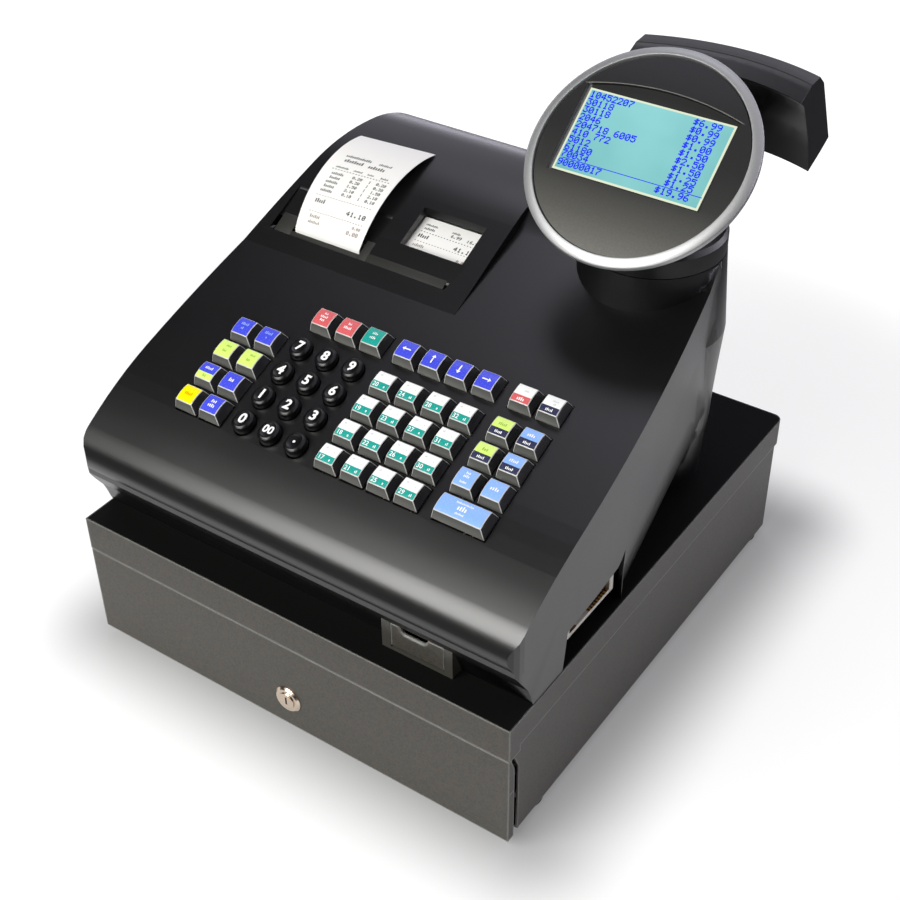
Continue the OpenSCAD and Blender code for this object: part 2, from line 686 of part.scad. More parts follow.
module motor_pinion() placed() color("#c7a85a") {
    translate([frame_x[0] - 7, pinion[0], pinion[1]]) rotate([90, 0, 90])
        linear_extrude(5) polygon(gear_line(pinion_teeth, 90 + 180 / pinion_teeth));
    rod_x(frame_x[0] - 7, frame_x[0] + 16, pinion[0], pinion[1], 1.5);
}
module paper_on_core(x, axis, r) {
    difference() {
        rod_x(x, x + paper_w, axis[0], axis[1], r);
        rod_x(x - 1, x + paper_w + 1, axis[0], axis[1], shaft_r - 0.01);
    }
}
module receipt_roll() placed() color("#f2f0ea") {
    paper_on_core(receipt_x, receipt_axis, receipt_r);
    rod_x(frame_x[0] - 1, frame_x[1] + frame_t + 1, receipt_axis[0], receipt_axis[1], shaft_r);
}
module journal_roll() placed() color("#f2f0ea") {
    paper_on_core(journal_x, journal_axis, journal_r);
    rod_x(frame_x[1] - 1, frame_x[2] + frame_t + 1, journal_axis[0], journal_axis[1], shaft_r);
}
module takeup_spool() placed() color("#e3e1da") {
    paper_on_core(journal_x, takeup_axis, takeup_r);
    rod_x(frame_x[1] - 1, frame_x[2] + frame_t + 1, takeup_axis[0], takeup_axis[1], shaft_r);
    for (x = [journal_x - 2, journal_x + paper_w + 0.5])
        rod_x(x, x + 1.5, takeup_axis[0], takeup_axis[1], takeup_r + 1.5);
}
platen_wrap = concat([[258, 227.6]], arc(platen[0], platen[1], platen_r + 0.35, 270, 160, 8));
module paper_webs() placed() color("#f4f2ec") {
    along_x(receipt_x + 0.5, receipt_x + paper_w - 0.5)
        polygon(strip(concat(platen_wrap, [[204.1, 246.5]]), 0.3));
    along_x(journal_x + 0.5, journal_x + paper_w - 0.5)
        polygon(strip(concat(platen_wrap, [[207, 245.4], [212, 250], [219, 253.9], [253, 267.6], [256.5, 259.8]]), 0.3));
}
// The printed end of the receipt: a sheet ruled between two arcs, so that it curls back over the
// cover and leans a little to the right
paper_t = 0.35;
paper_steps = 13;
function paper_left(t, r) = [receipt_x - 3.2 + 3.2 * t, 270.6 + r * cos(156 - 75 * t), 226.1 + r * sin(156 - 75 * t)];
function paper_right(t, r) = [receipt_x + paper_w - 3.2 + 3.2 * t, 281.1 + (r + 21.2) * cos(144 - 63 * t),
    199.8 + (r + 21.2) * sin(144 - 63 * t)];
paper_left_r = 72.6;
module receipt_paper() placed() color("#f7f6f2") {
    points = [for (i = [0 : paper_steps]) each [
        paper_left(i / paper_steps, paper_left_r), paper_left(i / paper_steps, paper_left_r + paper_t),
        paper_right(i / paper_steps, paper_left_r + paper_t), paper_right(i / paper_steps, paper_left_r)]];
    last = 4 * paper_steps;
    polyhedron(points, concat(
        [[0, 1, 2, 3], [last + 3, last + 2, last + 1, last]],
        [for (i = [0 : paper_steps - 1]) for (k = [0 : 3])
            [4 * i + k, 4 * i + 4 + k, 4 * i + 4 + (k + 1) % 4, 4 * i + (k + 1) % 4]]));
}

// ==== Boards and ports ====
board_t = 1.6;
board_z = 114;
case_floor = cabinet_h + 3;
module main_board() placed() color("#1f6b45") {
    top = board_z + board_t;
    box([-60, 66, board_z], [140, 178, top]);
    for (x = [-52, 132]) for (y = [74, 170])
        translate([x, y, case_floor]) cylinder(h = board_z - case_floor, r = 3);
    // processor, memory, a plug for the key board's cable, and capacitors
    box([-20, 90, top], [10, 120, top + 3.4]);
    box([40, 100, top], [58, 128, top + 3.9]);
    box([80, 80, top], [130, 88, top + 8.4]);
    for (x = [-40 : 14 : -10]) translate([x, 150, top]) cylinder(h = 14, r = 5);
}
module key_board() placed() color("#1f6b45") {
    on_deck(0, 0, -board_depth) {
        box([-132, 50, 0], [134, 170, board_t]);
        for (x = [-129, 131]) for (v = [90, 167])
            translate([x, v, board_t]) cylinder(h = board_depth - board_t - wall, r = 2.5);
    }
}
// The connector's top follows the edge of the cut-out
port_line = [[72, 118], [133, 118], [133, 137], [72, 134.2]];
port_face = 174;
contact_pitch = 4.4;
module side_connector() placed() color("#e6e0cf") {
    difference() {
        along_x(recess_x, port_face) polygon(port_line);
        box([port_face - 9, 78, 121], [port_face + 1, 128, 131]);
    }
    for (i = [0 : 9])
        box([port_face - 10, 81 + contact_pitch * i, 122], [port_face - 3, 82.6 + contact_pitch * i, 123]);
}
door_axis = [bay_y + 2.6, cabinet_h + 5];
notch_line = [[84.5, 129], [86.6, 124.6], [88.6, 122.9], [103.9, 122.9], [105.9, 124.6], [108, 129]];
module compartment_door() placed() color("#1b1b1b") {
    difference() {
        union() {
            box([door_x[0] + gap, bay_y, door_axis[1]], [door_x[1] - gap, bay_y + 2.2, 127.8]);
            rod_x(door_x[0] + gap, door_x[1] - gap, door_axis[0], door_axis[1], 2.6);
        }
        // finger notch with a stepped edge
        along_y(bay_y - 1, bay_y + 4) polygon(notch_line);
        along_y(bay_y - 1, bay_y + 0.6) polygon(strip(notch_line, 1.8));
    }
    rod_x(door_x[0] - 3, door_x[1] + 3, door_axis[0], door_axis[1], 1.5);
}
module power_transformer() placed() color("#6b6a66") {
    // core, winding and mounting frame
    box([-140, 80, case_floor], [-84, 140, case_floor + 48]);
    box([-132, 72, case_floor + 9], [-92, 148, case_floor + 39]);
    box([-146, 84, case_floor], [-78, 136, case_floor + 2]);
}
module power_inlet() placed() color("#151515") {
    translate([70, case_rear - 4, 126]) rotate([-90, 0, 0]) difference() {
        union() {
            cylinder(h = 6, r = 6.95);
            translate([0, 0, 4]) cylinder(h = 3, r = 9.5);
        }
        translate([0, 0, -1]) cylinder(h = 12, r = 4);
    }
}

// ==== Displays ====
tilt_axis = [275, 335];
ear_x = 30;
ear_t = 7;
module turret_head() placed() color("#1a1a1c") {
    difference() {
        union() {
            translate([turret[0], turret[1], 0]) rotate_extrude()
                polygon([[0, column_top + 0.5], [turret_r, column_top + 0.5], [turret_r, 300], [47.5, 303.5],
                    [40, 304.5], [0, 304.5]]);
            translate([turret[0], turret[1], 256]) cylinder(h = 34, r = 20);
            translate([turret[0], turret[1], 256]) cylinder(h = 5.5, r = 26);
            for (side = [-1, 1])
                along_x(turret[0] + side * ear_x - ear_t / 2, turret[0] + side * ear_x + ear_t / 2)
                    polygon(concat([[300, 302], [266, 302]], arc(tilt_axis[0], tilt_axis[1], 10, 180, 0, 10)));
            customer_arm();
        }
        translate([turret[0], turret[1], 250]) cylinder(h = 60, r = 14);
        rod_x(turret[0] - 60, turret[0] + 60, tilt_axis[0], tilt_axis[1], 4 + run);
    }
}
// Arm from the turret head into the front of the customer display
module customer_arm() {
    along_x(turret[0] - 20, turret[0] + 20)
        polygon([[306, 296], [324, 296], [372, 316], [392, 330], [390, 344], [364, 331], [312, 304]]);
}
// Frame of the operator display: z along its face normal, y up its face
face = [turret[0], 255, 360];
module on_face() {
    translate(face) rotate([90 - display_lean, 0, 0]) children();
}
module display_housing() placed() color("#161618") {
    on_face() {
        difference() {
            rotate_extrude() polygon([[0, -20], [38, -20], [60, -15], [72, -7.5], [74.5, -3.5], [74.5, 0], [0, 0]]);
            translate([0, 0, -16.5]) cylinder(h = 30, r = 36);
            translate([0, 0, -12]) cylinder(h = 30, r = 60);
            translate([0, 0, -5]) cylinder(h = 30, r = 70.5);
        }
        for (x = [-18, 11])
            along_x(x, x + 7) polygon(concat([[-9, -19], [9, -19]], arc(0, -32, 9, 0, -180, 12)));
    }
    rod_x(turret[0] - ear_x - 3, turret[0] + ear_x + 3, tilt_axis[0], tilt_axis[1], 4);
}
ring_in = 71;
module display_ring() placed() color("#b9bcc0") {
    on_face() rotate_extrude()
        polygon([[ring_in, 0], [ring_r, 0], [ring_r, 1.5], [77.4, 4.2], [75, 5.8], [72.4, 5.2], [ring_in, 4.2]]);
}
lcd = [104.4, 59.8];
lcd_c = [-1.8, 6.5];
fascia_z = [-4.5, 3.8];
lcd_z = 1.5;
// Recess round the screen, with an arched top edge
window_x = [-56.3, 53];
window_y = [-25.2, 38.2];
arch_r = 197.8;
arch_half = asin((window_x[1] - window_x[0]) / 2 / arch_r);
module window_recess() {
    polygon(concat([[window_x[0], window_y[0]], [window_x[1], window_y[0]]],
        arc((window_x[0] + window_x[1]) / 2, window_y[1] - arch_r * cos(arch_half), arch_r,
            90 - arch_half, 90 + arch_half, 20)));
}
module display_fascia() placed() color("#2b2b2e") {
    on_face() difference() {
        translate([0, 0, fascia_z[0]]) cylinder(h = fascia_z[1] - fascia_z[0], r = ring_in - 0.8);
        translate([lcd_c[0], lcd_c[1], -10]) linear_extrude(30) square(lcd, center = true);
        translate([0, 0, lcd_z - 0.6]) linear_extrude(10) window_recess();
    }
}
module lcd_screen() placed() color("#62c7c6") {
    on_face() translate([lcd_c[0], lcd_c[1], fascia_z[0]]) linear_extrude(lcd_z - fascia_z[0])
        square(lcd, center = true);
}
// Profile of the customer display: distance from the bow's centre, and height
customer_profile = [[138.2, 378], [143.8, 373], [157, 345], [165.4, 316.5], [182, 324], [193.3, 330],
    [171, 379], [163.5, 386], [151.7, 385]];
module bowed(a) {
    half = asin(customer_w / 2 / 150);
    translate([customer_c[0], customer_c[1], 0]) rotate([0, 0, 90 - half - 4])
        rotate_extrude(angle = 2 * half + 8, $fn = 180) polygon(a);
}
window_line = [[189.8, 337], [176.5, 366.5]];
module customer_housing() placed() color("#1c1c22") {
    difference() {
        intersection() {
            bowed(customer_profile);
            box([turret[0] - customer_w / 2, 300, 300], [turret[0] + customer_w / 2, 430, 400]);
        }
        customer_arm();
        intersection() {
            bowed([window_line[0] + [-2.7, -1.2], window_line[0] + [6, 2.7], window_line[1] + [6, 2.7],
                window_line[1] + [-2.7, -1.2]]);
            box([turret[0] - 50, 300, 300], [turret[0] + 50, 430, 400]);
        }
    }
}
module customer_window() placed() color("#0e2a2c") {
    intersection() {
        bowed([window_line[0] + [-2.5, -1.0], window_line[0] + [-0.7, -0.1], window_line[1] + [-0.7, -0.5],
            window_line[1] + [-2.5, -1.4]]);
        box([turret[0] - 50, 300, 300], [turret[0] + 50, 430, 400]);
    }
}

// ==== Keys ====
module numbered(i) placed() color("#111113") number_key(number_spots[i]);
module key_7() numbered(0);
module key_8() numbered(1);
module key_9() numbered(2);
module key_4() numbered(3);
module key_5() numbered(4);
module key_6() numbered(5);
module key_1() numbered(6);
module key_2() numbered(7);
module key_3() numbered(8);
module key_0() numbered(9);
module key_00() numbered(10);
module key_point() numbered(11);
module key_total() placed() color("#87b4fa") function_key(total_spot, key_pitch / 2);
module left_keys() placed() color("#4a55dc") for (spot = left_spots) function_key(spot);
module top_keys() placed() color("#4a55dc") for (spot = top_spots) function_key(spot);
module department_keys() placed() color("#f4f6f5") for (spot = department_spots) function_key(spot);
module right_keys() placed() color("#87b4fa") for (spot = right_spots) function_key(spot);

cabinet_shell();
cabinet_lid();
rubber_feet();
front_rollers();
rear_rollers();
latch_solenoid();
latch_hook();
ejector_spring();
drawer_front();
drawer_box();
money_tray();
bill_clip_1();
bill_clip_2();
bill_clip_3();
bill_clip_4();
bill_clip_5();
lock_housing();
lock_cylinder();
lower_case();
upper_cover();
printer_cover();
printer_frame();
platen_roller();
feed_motor();
motor_pinion();
receipt_roll();
journal_roll();
takeup_spool();
receipt_paper();
paper_webs();
main_board();
key_board();
side_connector();
compartment_door();
turret_head();
display_housing();
display_ring();
display_fascia();
lcd_screen();
customer_housing();
customer_window();
power_transformer();
power_inlet();
key_0();
key_1();
key_2();
key_3();
key_4();
key_5();
key_6();
key_7();
key_8();
key_9();
key_00();
key_point();
key_total();
left_keys();
top_keys();
department_keys();
right_keys();
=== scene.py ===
import math
import bmesh
import bpy
from mathutils import Matrix, Vector


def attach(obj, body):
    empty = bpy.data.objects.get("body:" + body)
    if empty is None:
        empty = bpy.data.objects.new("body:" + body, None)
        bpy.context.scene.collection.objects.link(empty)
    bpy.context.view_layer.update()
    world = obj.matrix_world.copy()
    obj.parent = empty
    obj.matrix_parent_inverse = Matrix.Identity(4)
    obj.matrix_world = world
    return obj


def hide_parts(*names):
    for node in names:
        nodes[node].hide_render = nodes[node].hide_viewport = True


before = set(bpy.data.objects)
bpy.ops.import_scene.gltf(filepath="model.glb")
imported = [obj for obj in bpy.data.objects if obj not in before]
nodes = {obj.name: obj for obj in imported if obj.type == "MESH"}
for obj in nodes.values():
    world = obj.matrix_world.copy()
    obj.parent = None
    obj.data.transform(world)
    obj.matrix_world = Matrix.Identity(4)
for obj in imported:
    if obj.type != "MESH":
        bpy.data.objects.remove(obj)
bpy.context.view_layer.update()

scene = bpy.context.scene

# Lengths below are millimetres in the cabinet's own frame: x from its middle, y back from its front
# face, z up from its bottom panel. The spaces take them to the model's metres.
cabinetSpace = Matrix.Scale(0.001, 4) @ Matrix.Translation((-4.25, -207.15, 8.0))
deck = {"height": 178.4, "slope": math.radians(20.0)}

def leaning(middle, lean):
    # a space round a point in cabinet millimetres, leaning back by an angle
    return cabinetSpace @ Matrix.Translation(middle) @ Matrix.Rotation(lean, 4, "X")

deckSpace = leaning((0, 0, deck["height"]), deck["slope"])

def tint(red, green, blue):
    # screen values 0-255 to the linear ones that shaders take
    return tuple((c / 255 / 12.92) if c <= 10 else ((c / 255 + 0.055) / 1.055) ** 2.4 for c in (red, green, blue))

# ---- shader helpers ----
class Wire:
    # a socket that takes part in sums; each operator adds its Math node
    def __init__(self, finish, socket):
        self.finish, self.socket = finish, socket

    def maths(self, operation, first, second=0.0):
        return self.finish.node("ShaderNodeMath", {"operation": operation}, {0: first, 1: second})

    def alone(self, operation):
        # SQRT, FRACT or ABSOLUTE of this socket
        return self.finish.node("ShaderNodeMath", {"operation": operation}, {0: self})

    def most(self, other): return self.maths("MAXIMUM", self, other)
    def least(self, other): return self.maths("MINIMUM", self, other)
    def __add__(self, other): return self.maths("ADD", self, other)
    def __radd__(self, other): return self.maths("ADD", other, self)
    def __sub__(self, other): return self.maths("SUBTRACT", self, other)
    def __rsub__(self, other): return self.maths("SUBTRACT", other, self)
    def __mul__(self, other): return self.maths("MULTIPLY", self, other)
    def __rmul__(self, other): return self.maths("MULTIPLY", other, self)
    def __truediv__(self, other): return self.maths("DIVIDE", self, other)
    def __gt__(self, other): return self.maths("GREATER_THAN", self, other)
    def __lt__(self, other): return self.maths("LESS_THAN", self, other)

def spanned(a, b):
    # the distance that two lengths at right angles make
    return (a * a + b * b).alone("SQRT")

class Finish:
    # a procedural material: its Principled shader and the nodes that feed it
    def __init__(self, name, colour, sockets={}):
        self.material = bpy.data.materials.new(name)
        self.material.use_nodes = True
        tree = self.material.node_tree
        self.nodes, self.links = tree.nodes, tree.links
        self.shader = next(n for n in self.nodes if n.type == "BSDF_PRINCIPLED")
        for socket, value in {"Base Color": colour, **sockets}.items():
            self.feed(socket, value)
        self.colour = colour

    def node(self, kind, settings={}, values={}, output=0):
        made = self.nodes.new(kind)
        for name, value in settings.items():
            if name == "stops":
                while len(made.color_ramp.elements) > 1:
                    made.color_ramp.elements.remove(made.color_ramp.elements[0])
                for i, (at, colour) in enumerate(value):
                    stop = made.color_ramp.elements[0] if i == 0 else made.color_ramp.elements.new(at)
                    stop.position, stop.color = at, (*colour, 1)
            else:
                setattr(made, name, value)
        for name, value in values.items():
            self.put(made.inputs[name], value)
        return Wire(self, made.outputs[output])

    def put(self, socket, value):
        if isinstance(value, Wire):
            self.links.new(value.socket, socket)
        else:
            # colours are written with three numbers
            socket.default_value = (*value, 1) if socket.type == "RGBA" else value

    def feed(self, name, value):
        self.put(self.shader.inputs[name], value)

    def place(self):
        return self.node("ShaderNodeTexCoord", output="Object")

    def axes(self):
        split = self.node("ShaderNodeSeparateXYZ", values={0: self.place()}).socket.node
        return [Wire(self, split.outputs[i]) for i in range(3)]

    def noise(self, scale, detail=2.0, roughness=0.5):
        values = {"Vector": self.place(), "Scale": scale, "Detail": detail, "Roughness": roughness}
        return self.node("ShaderNodeTexNoise", {}, values)

    def cells(self, scale):
        return self.node("ShaderNodeTexVoronoi", {}, {"Vector": self.place(), "Scale": scale})

    def between(self, amount, first, second):
        # a colour that goes from first to second
        return self.node("ShaderNodeMix", {"data_type": "RGBA"}, {0: amount, 6: first, 7: second}, output=2)

    def shades(self, amount, darker, lighter):
        # the base colour made darker and lighter by a pattern
        low = tuple(c * darker for c in self.colour)
        high = tuple(min(1, c * lighter) for c in self.colour)
        return self.between(amount, low, high)

    def cover(self, amount, other):
        # a second shader over the Principled one
        out = next(n for n in self.nodes if n.type == "OUTPUT_MATERIAL")
        blend = self.node("ShaderNodeMixShader", {}, {0: amount, 1: Wire(self, self.shader.outputs[0]), 2: other})
        self.links.new(blend.socket, out.inputs["Surface"])

    def relief(self, height, distance, strength=1.0, edge=0.0):
        # grain as bump, over edges that the Bevel node rounds
        values = {"Height": height, "Distance": distance, "Strength": strength}
        if edge:
            values["Normal"] = self.node("ShaderNodeBevel", {"samples": 4}, {"Radius": edge})
        self.feed("Normal", self.node("ShaderNodeBump", {}, values))

print("materials")
finishes = {
    "case": {"colour": tint(6, 6, 7), "roughness": 0.327, "grain": 0.000012, "edge": 0.0},
    "cabinet": {"colour": tint(66, 65, 60), "roughness": 0.46, "grain": 0.00005, "edge": 0.0022},
}

def mouldedPlastic(name, colour, roughness, grain, edge, bay=None):
    # bay: corners in cabinet millimetres of a space whose surfaces are painted like the cabinet
    f = Finish(name, colour, {"Specular IOR Level": 0.8})
    fine = f.noise(2600, 2)
    cloud = f.noise(14, 3)
    coat = f.shades(cloud, 0.86, 1.14)
    if bay:
        low, high = cabinetSpace @ Vector(bay[0]), cabinetSpace @ Vector(bay[1])
        x, y, z = f.axes()
        inside = (x > low.x) * (x < high.x) * (y > low.y) * (y < high.y) * (z < high.z)
        coat = f.between(inside, coat, finishes["cabinet"]["colour"])
    f.feed("Base Color", coat)
    f.feed("Roughness", roughness - 0.06 + 0.05 * cloud + 0.09 * f.noise(820, 3, 0.6))
    f.relief(fine, grain, 1.0, edge)
    return f.material

# the paint's specks, its rust tone, a painted highlight along its edges, and painted shade: a dull black on the
# lid's top
cabinetCoat = {
    "dark": 0.66, "light": 1.34, "rust": (1.5, 1.0, 0.90), "highlightEdge": tint(150, 150, 146), "top": tint(8, 8, 8),
    "shadeCoat": {"Base Color": tint(5, 5, 5), "Roughness": 0.8, "Specular IOR Level": 0.12},
}

def texturedPaint(name, colour, roughness, grain, edge, top=None):
    # top: height in metres above which the coat is painted nearly black, as painted shade
    f = Finish(name, colour, {"Specular IOR Level": 0.5})
    pebble = f.cells(900)
    fine = f.noise(1500, 3)
    cloud = f.noise(9, 3)
    warm = f.noise(330, 2)
    dust = f.noise(760, 3, 0.7)
    k = cabinetCoat
    speck = f.between((dust - 0.3) * 2.5, [c * k["dark"] for c in colour], [c * k["light"] for c in colour])
    rusty = [c * warmer for c, warmer in zip(colour, k["rust"])]
    coat = f.between((warm - 0.5) * 3.2, speck, rusty)
    # painted highlight: the coat is painted lighter along the edges, where rounded edges catch the light
    true = f.node("ShaderNodeNewGeometry", output="True Normal")
    highlightEdge = f.node("ShaderNodeBevel", {"samples": 6}, {"Radius": edge})
    turned = f.node("ShaderNodeVectorMath", {"operation": "DOT_PRODUCT"}, {0: true, 1: highlightEdge}, output="Value")
    edgeHighlight = ((1 - turned) * 6.0).least(1.0)
    coat = f.between(0.75 * edgeHighlight, coat, k["highlightEdge"])
    # painted shade: above the height top, away from the edges, the coat is nearly black
    if top:
        x, y, z = f.axes()
        above = (z > top) * (1 - edgeHighlight)
        coat = f.between(above, coat, k["top"])
    f.feed("Base Color", coat)
    f.feed("Roughness", roughness - 0.05 + 0.10 * cloud + 0.06 * fine - 0.10 * edgeHighlight)
    f.relief(0.6 * pebble + 0.4 * fine, grain, 1.0, edge)
    # painted shade: a dull black shader over the same part of the lid's top
    if top:
        f.cover(above, f.node("ShaderNodeBsdfPrincipled", {}, k["shadeCoat"]))
    return f.material

def brushedMetal(name, colour, roughness):
    f = Finish(name, colour, {"Metallic": 1.0})
    drawn = f.node("ShaderNodeMapping", {}, {"Vector": f.place(), "Scale": (30, 900, 900)})
    lines = f.node("ShaderNodeTexNoise", {}, {"Vector": drawn, "Scale": 3.0, "Detail": 3.0})
    cloud = f.noise(40, 2)
    f.feed("Base Color", f.shades(cloud, 0.85, 1.1))
    f.feed("Roughness", roughness - 0.08 + 0.16 * lines)
    f.relief(lines, 0.00002, 0.6, 0.0004)
    return f.material

def softSurface(name, colour, roughness, grainScale, grain, spread=0.12):
    # rubber, nylon, paper: matte things with a fine grain
    f = Finish(name, colour)
    fine = f.noise(grainScale, 3)
    cloud = f.noise(30, 2)
    f.feed("Base Color", f.shades(cloud, 1 - spread, 1 + spread))
    f.feed("Roughness", roughness - 0.05 + 0.1 * fine)
    f.relief(fine, grain, 0.8)
    return f.material

def silverPaint():
    f = Finish("silverPaint", tint(180, 181, 182), {"Metallic": 0.7})
    flake = f.cells(2400)
    cloud = f.noise(25, 2)
    f.feed("Base Color", f.shades(flake, 0.9, 1.06))
    f.feed("Roughness", 0.40 + 0.05 * cloud + 0.06 * flake)
    f.relief(flake, 0.000012, 0.7, 0.0005)
    return f.material

# The operator display's face: its middle in cabinet millimetres and its lean from lying flat
face = {"middle": (110.0, 255.0, 360.0), "lean": math.radians(38.5)}
faceSpace = leaning(face["middle"], face["lean"])
# on it: the level of the screen's recess, painted near black as shade; the recess's left wall, painted light grey
# as lit; and the thin line of a painted highlight, part of a circle
fascia = {
    "recess": 3.4, "wall": -54.3,
    "line": {"across": -1.65, "up": -151.9, "inner": 197.75, "outer": 198.35, "from": 38.0},
    "fade": [(0.0, tint(104, 103, 97)), (0.16, tint(74, 73, 68)), (0.34, tint(30, 30, 29)),
             (0.55, tint(12, 12, 13)), (0.80, tint(22, 22, 25)), (1.0, tint(40, 39, 45))],
}

def faceAxes(f):
    # millimetres across, up and out of the display's face
    x, y, z = f.axes()
    middle, lean = faceSpace @ Vector((0, 0, 0)), face["lean"]
    back, rise = y - middle.y, z - middle.z
    up = (back * math.cos(lean) + rise * math.sin(lean)) * 1000
    return (x - middle.x) * 1000, up, (rise * math.cos(lean) - back * math.sin(lean)) * 1000

def fasciaPlastic():
    # a painted reflection as a colour fade: near black behind the screen, lead grey towards the lower edge, bluish
    # grey at the top
    f = Finish("fasciaPlastic", tint(12, 12, 14))
    fine = f.noise(2000, 2)
    speck = f.noise(900, 3)
    across, up, proud = faceAxes(f)
    fade = f.node("ShaderNodeValToRGB", {"stops": fascia["fade"]}, {0: (up + 70) / 140})
    speckled = f.between(speck, (0.72, 0.72, 0.72), (1.28, 1.28, 1.28))
    settings = {"data_type": "RGBA", "blend_type": "MULTIPLY"}
    # the painted reflection's fade, with specks over it
    printed = f.node("ShaderNodeMix", settings, {0: 1.0, 6: fade, 7: speckled}, 2)
    # painted highlight: a thin light line along the arc of the recess's upper edge
    line = fascia["line"]
    reach = spanned(across - line["across"], up - line["up"])
    highlightMask = (reach > line["inner"]) * (reach < line["outer"]) * (up > line["from"])
    shadedRecess = proud < fascia["recess"]
    # painted shade: the recess is near black
    colour = f.between(shadedRecess, printed, tint(3, 3, 4))
    # painted light: the recess's left wall is light grey
    colour = f.between(shadedRecess * (across < fascia["wall"]), colour, tint(104, 104, 106))
    f.feed("Base Color", f.between(highlightMask * (1 - shadedRecess), colour, tint(112, 110, 106)))
    f.feed("Roughness", 0.40 + 0.06 * fine + 0.3 * shadedRecess)
    f.relief(fine, 0.00003, 1.0, 0.0004)
    return f.material

# the lit panel on the face: size, middle, rim, height, and the pitch of its dot rows
screen = {"width": 104.4, "height": 59.8, "x": -1.8, "y": 6.5, "border": 1.3, "front": 1.5, "rows": 0.68}

def screenGlow():
    # the lit panel: a cream rim round the teal field, brightest in the middle, with its dot rows
    f = Finish("screenGlow", tint(30, 50, 50), {"Roughness": 0.22, "Emission Strength": 1.0})
    across, up, proud = faceAxes(f)
    right = (across - screen["x"]).alone("ABSOLUTE")
    high = (up - screen["y"]).alone("ABSOLUTE")
    rim = (right > screen["width"] / 2 - screen["border"]).most(high > screen["height"] / 2 - screen["border"])
    rows = (up / screen["rows"]).alone("FRACT") > 0.86
    mottle = f.noise(26, 2)
    glow = 0.55 * mottle + 0.30 - 0.006 * right + 0.004 * up
    field = f.between(glow, tint(108, 178, 180), tint(158, 224, 226))
    lined = f.between(0.10 * rows, field, tint(70, 140, 142))
    f.feed("Emission Color", f.between(rim, lined, tint(228, 234, 206)))
    f.feed("Base Color", f.between(mottle, tint(24, 40, 40), tint(36, 58, 58)))
    return f.material

# the connector's slot: its corners, the ends of its brown and grey parts, the pitch of its contacts
port = {"low": (0, 78.2, 121.05), "high": (173.9, 127.8, 131), "brown": 9.0, "grey": 24.0,
        "pitch": 3.1, "depth": 3.4}

def portPlastic():
    # cream body; in its slot gilt contacts on black at the rear and a brown block at the front
    f = Finish("portPlastic", tint(206, 202, 190))
    x, y, z = f.axes()
    low, high = cabinetSpace @ Vector(port["low"]), cabinetSpace @ Vector(port["high"])
    slot = (x < high.x) * (y > low.y) * (y < high.y) * (z > low.z - 0.0003)
    along = (y - low.y) * 1000
    rear = along > port["grey"]
    rows, columns = (along / port["pitch"]).alone("FRACT"), (x * 1000 / port["depth"]).alone("FRACT")
    pins = (rows > 0.42) * rear
    gilt = pins * (columns > 0.3)
    front = f.between(along > port["brown"], tint(96, 60, 34), tint(196, 192, 184))
    filled = f.between(gilt, f.between(rear, front, tint(34, 20, 10)), tint(226, 170, 78))
    fine = f.noise(800, 2)
    f.feed("Base Color", f.between(slot, f.shades(fine, 0.94, 1.06), filled))
    f.feed("Metallic", 0.7 * (slot * gilt))
    f.feed("Roughness", 0.46 + 0.08 * fine - 0.1 * (slot * pins))
    f.relief(fine, 0.00001, 0.6, 0.0003)
    return f.material

# the seam along the customer display: the bow's middle in cabinet millimetres, then metres
seamLine = {"middle": (110, 224, 0), "inner": 0.1512, "outer": 0.1521, "from": 0.388}

def boundHousing(name, colour, roughness, grain, edge):
    # the customer display's shell, with the seam that its cap makes along the bow
    f = Finish(name, colour, {"Specular IOR Level": 0.8})
    x, y, z = f.axes()
    k, middle = seamLine, cabinetSpace @ Vector(seamLine["middle"])
    away = spanned(x - middle.x, y - middle.y)
    seam = (away > k["inner"]) * (away < k["outer"]) * (z > k["from"])
    fine, cloud = f.noise(2600, 2), f.noise(14, 3)
    f.feed("Base Color", f.between(seam, f.shades(cloud, 0.86, 1.14), (0.0005, 0.0005, 0.0005)))
    f.feed("Roughness", roughness - 0.04 + 0.08 * cloud + 0.05 * fine + 0.4 * seam)
    f.relief(0.1 * fine - 1.0 * seam, 0.0005, 1.0, edge)
    return f.material

def circuitBoard(name, mask, track):
    f = Finish(name, mask, {"Coat Weight": 0.3})
    values = {"Vector": f.place(), "Scale": 240.0, "Distortion": 3.0, "Detail": 1.0}
    tracks = f.node("ShaderNodeTexWave", {"wave_type": "BANDS"}, values)
    pads = f.cells(260) < 0.12
    f.feed("Base Color", f.between(pads, f.between(tracks > 0.72, mask, track), tint(190, 180, 150)))
    f.feed("Roughness", 0.35 + 0.2 * tracks)
    return f.material

def lacquer(name, colour, roughness=0.28):
    # printed or moulded colour under a glossy surface
    f = Finish(name, colour)
    fine = f.noise(900, 2)
    f.feed("Base Color", f.shades(f.noise(60, 2), 0.96, 1.04))
    f.feed("Roughness", roughness + 0.06 * fine)
    f.relief(fine, 0.000008, 0.6)
    return f.material

doorBay = ((70.8, 10, 90), (126.2, 27, 129))   # round the compartment door, cabinet millimetres
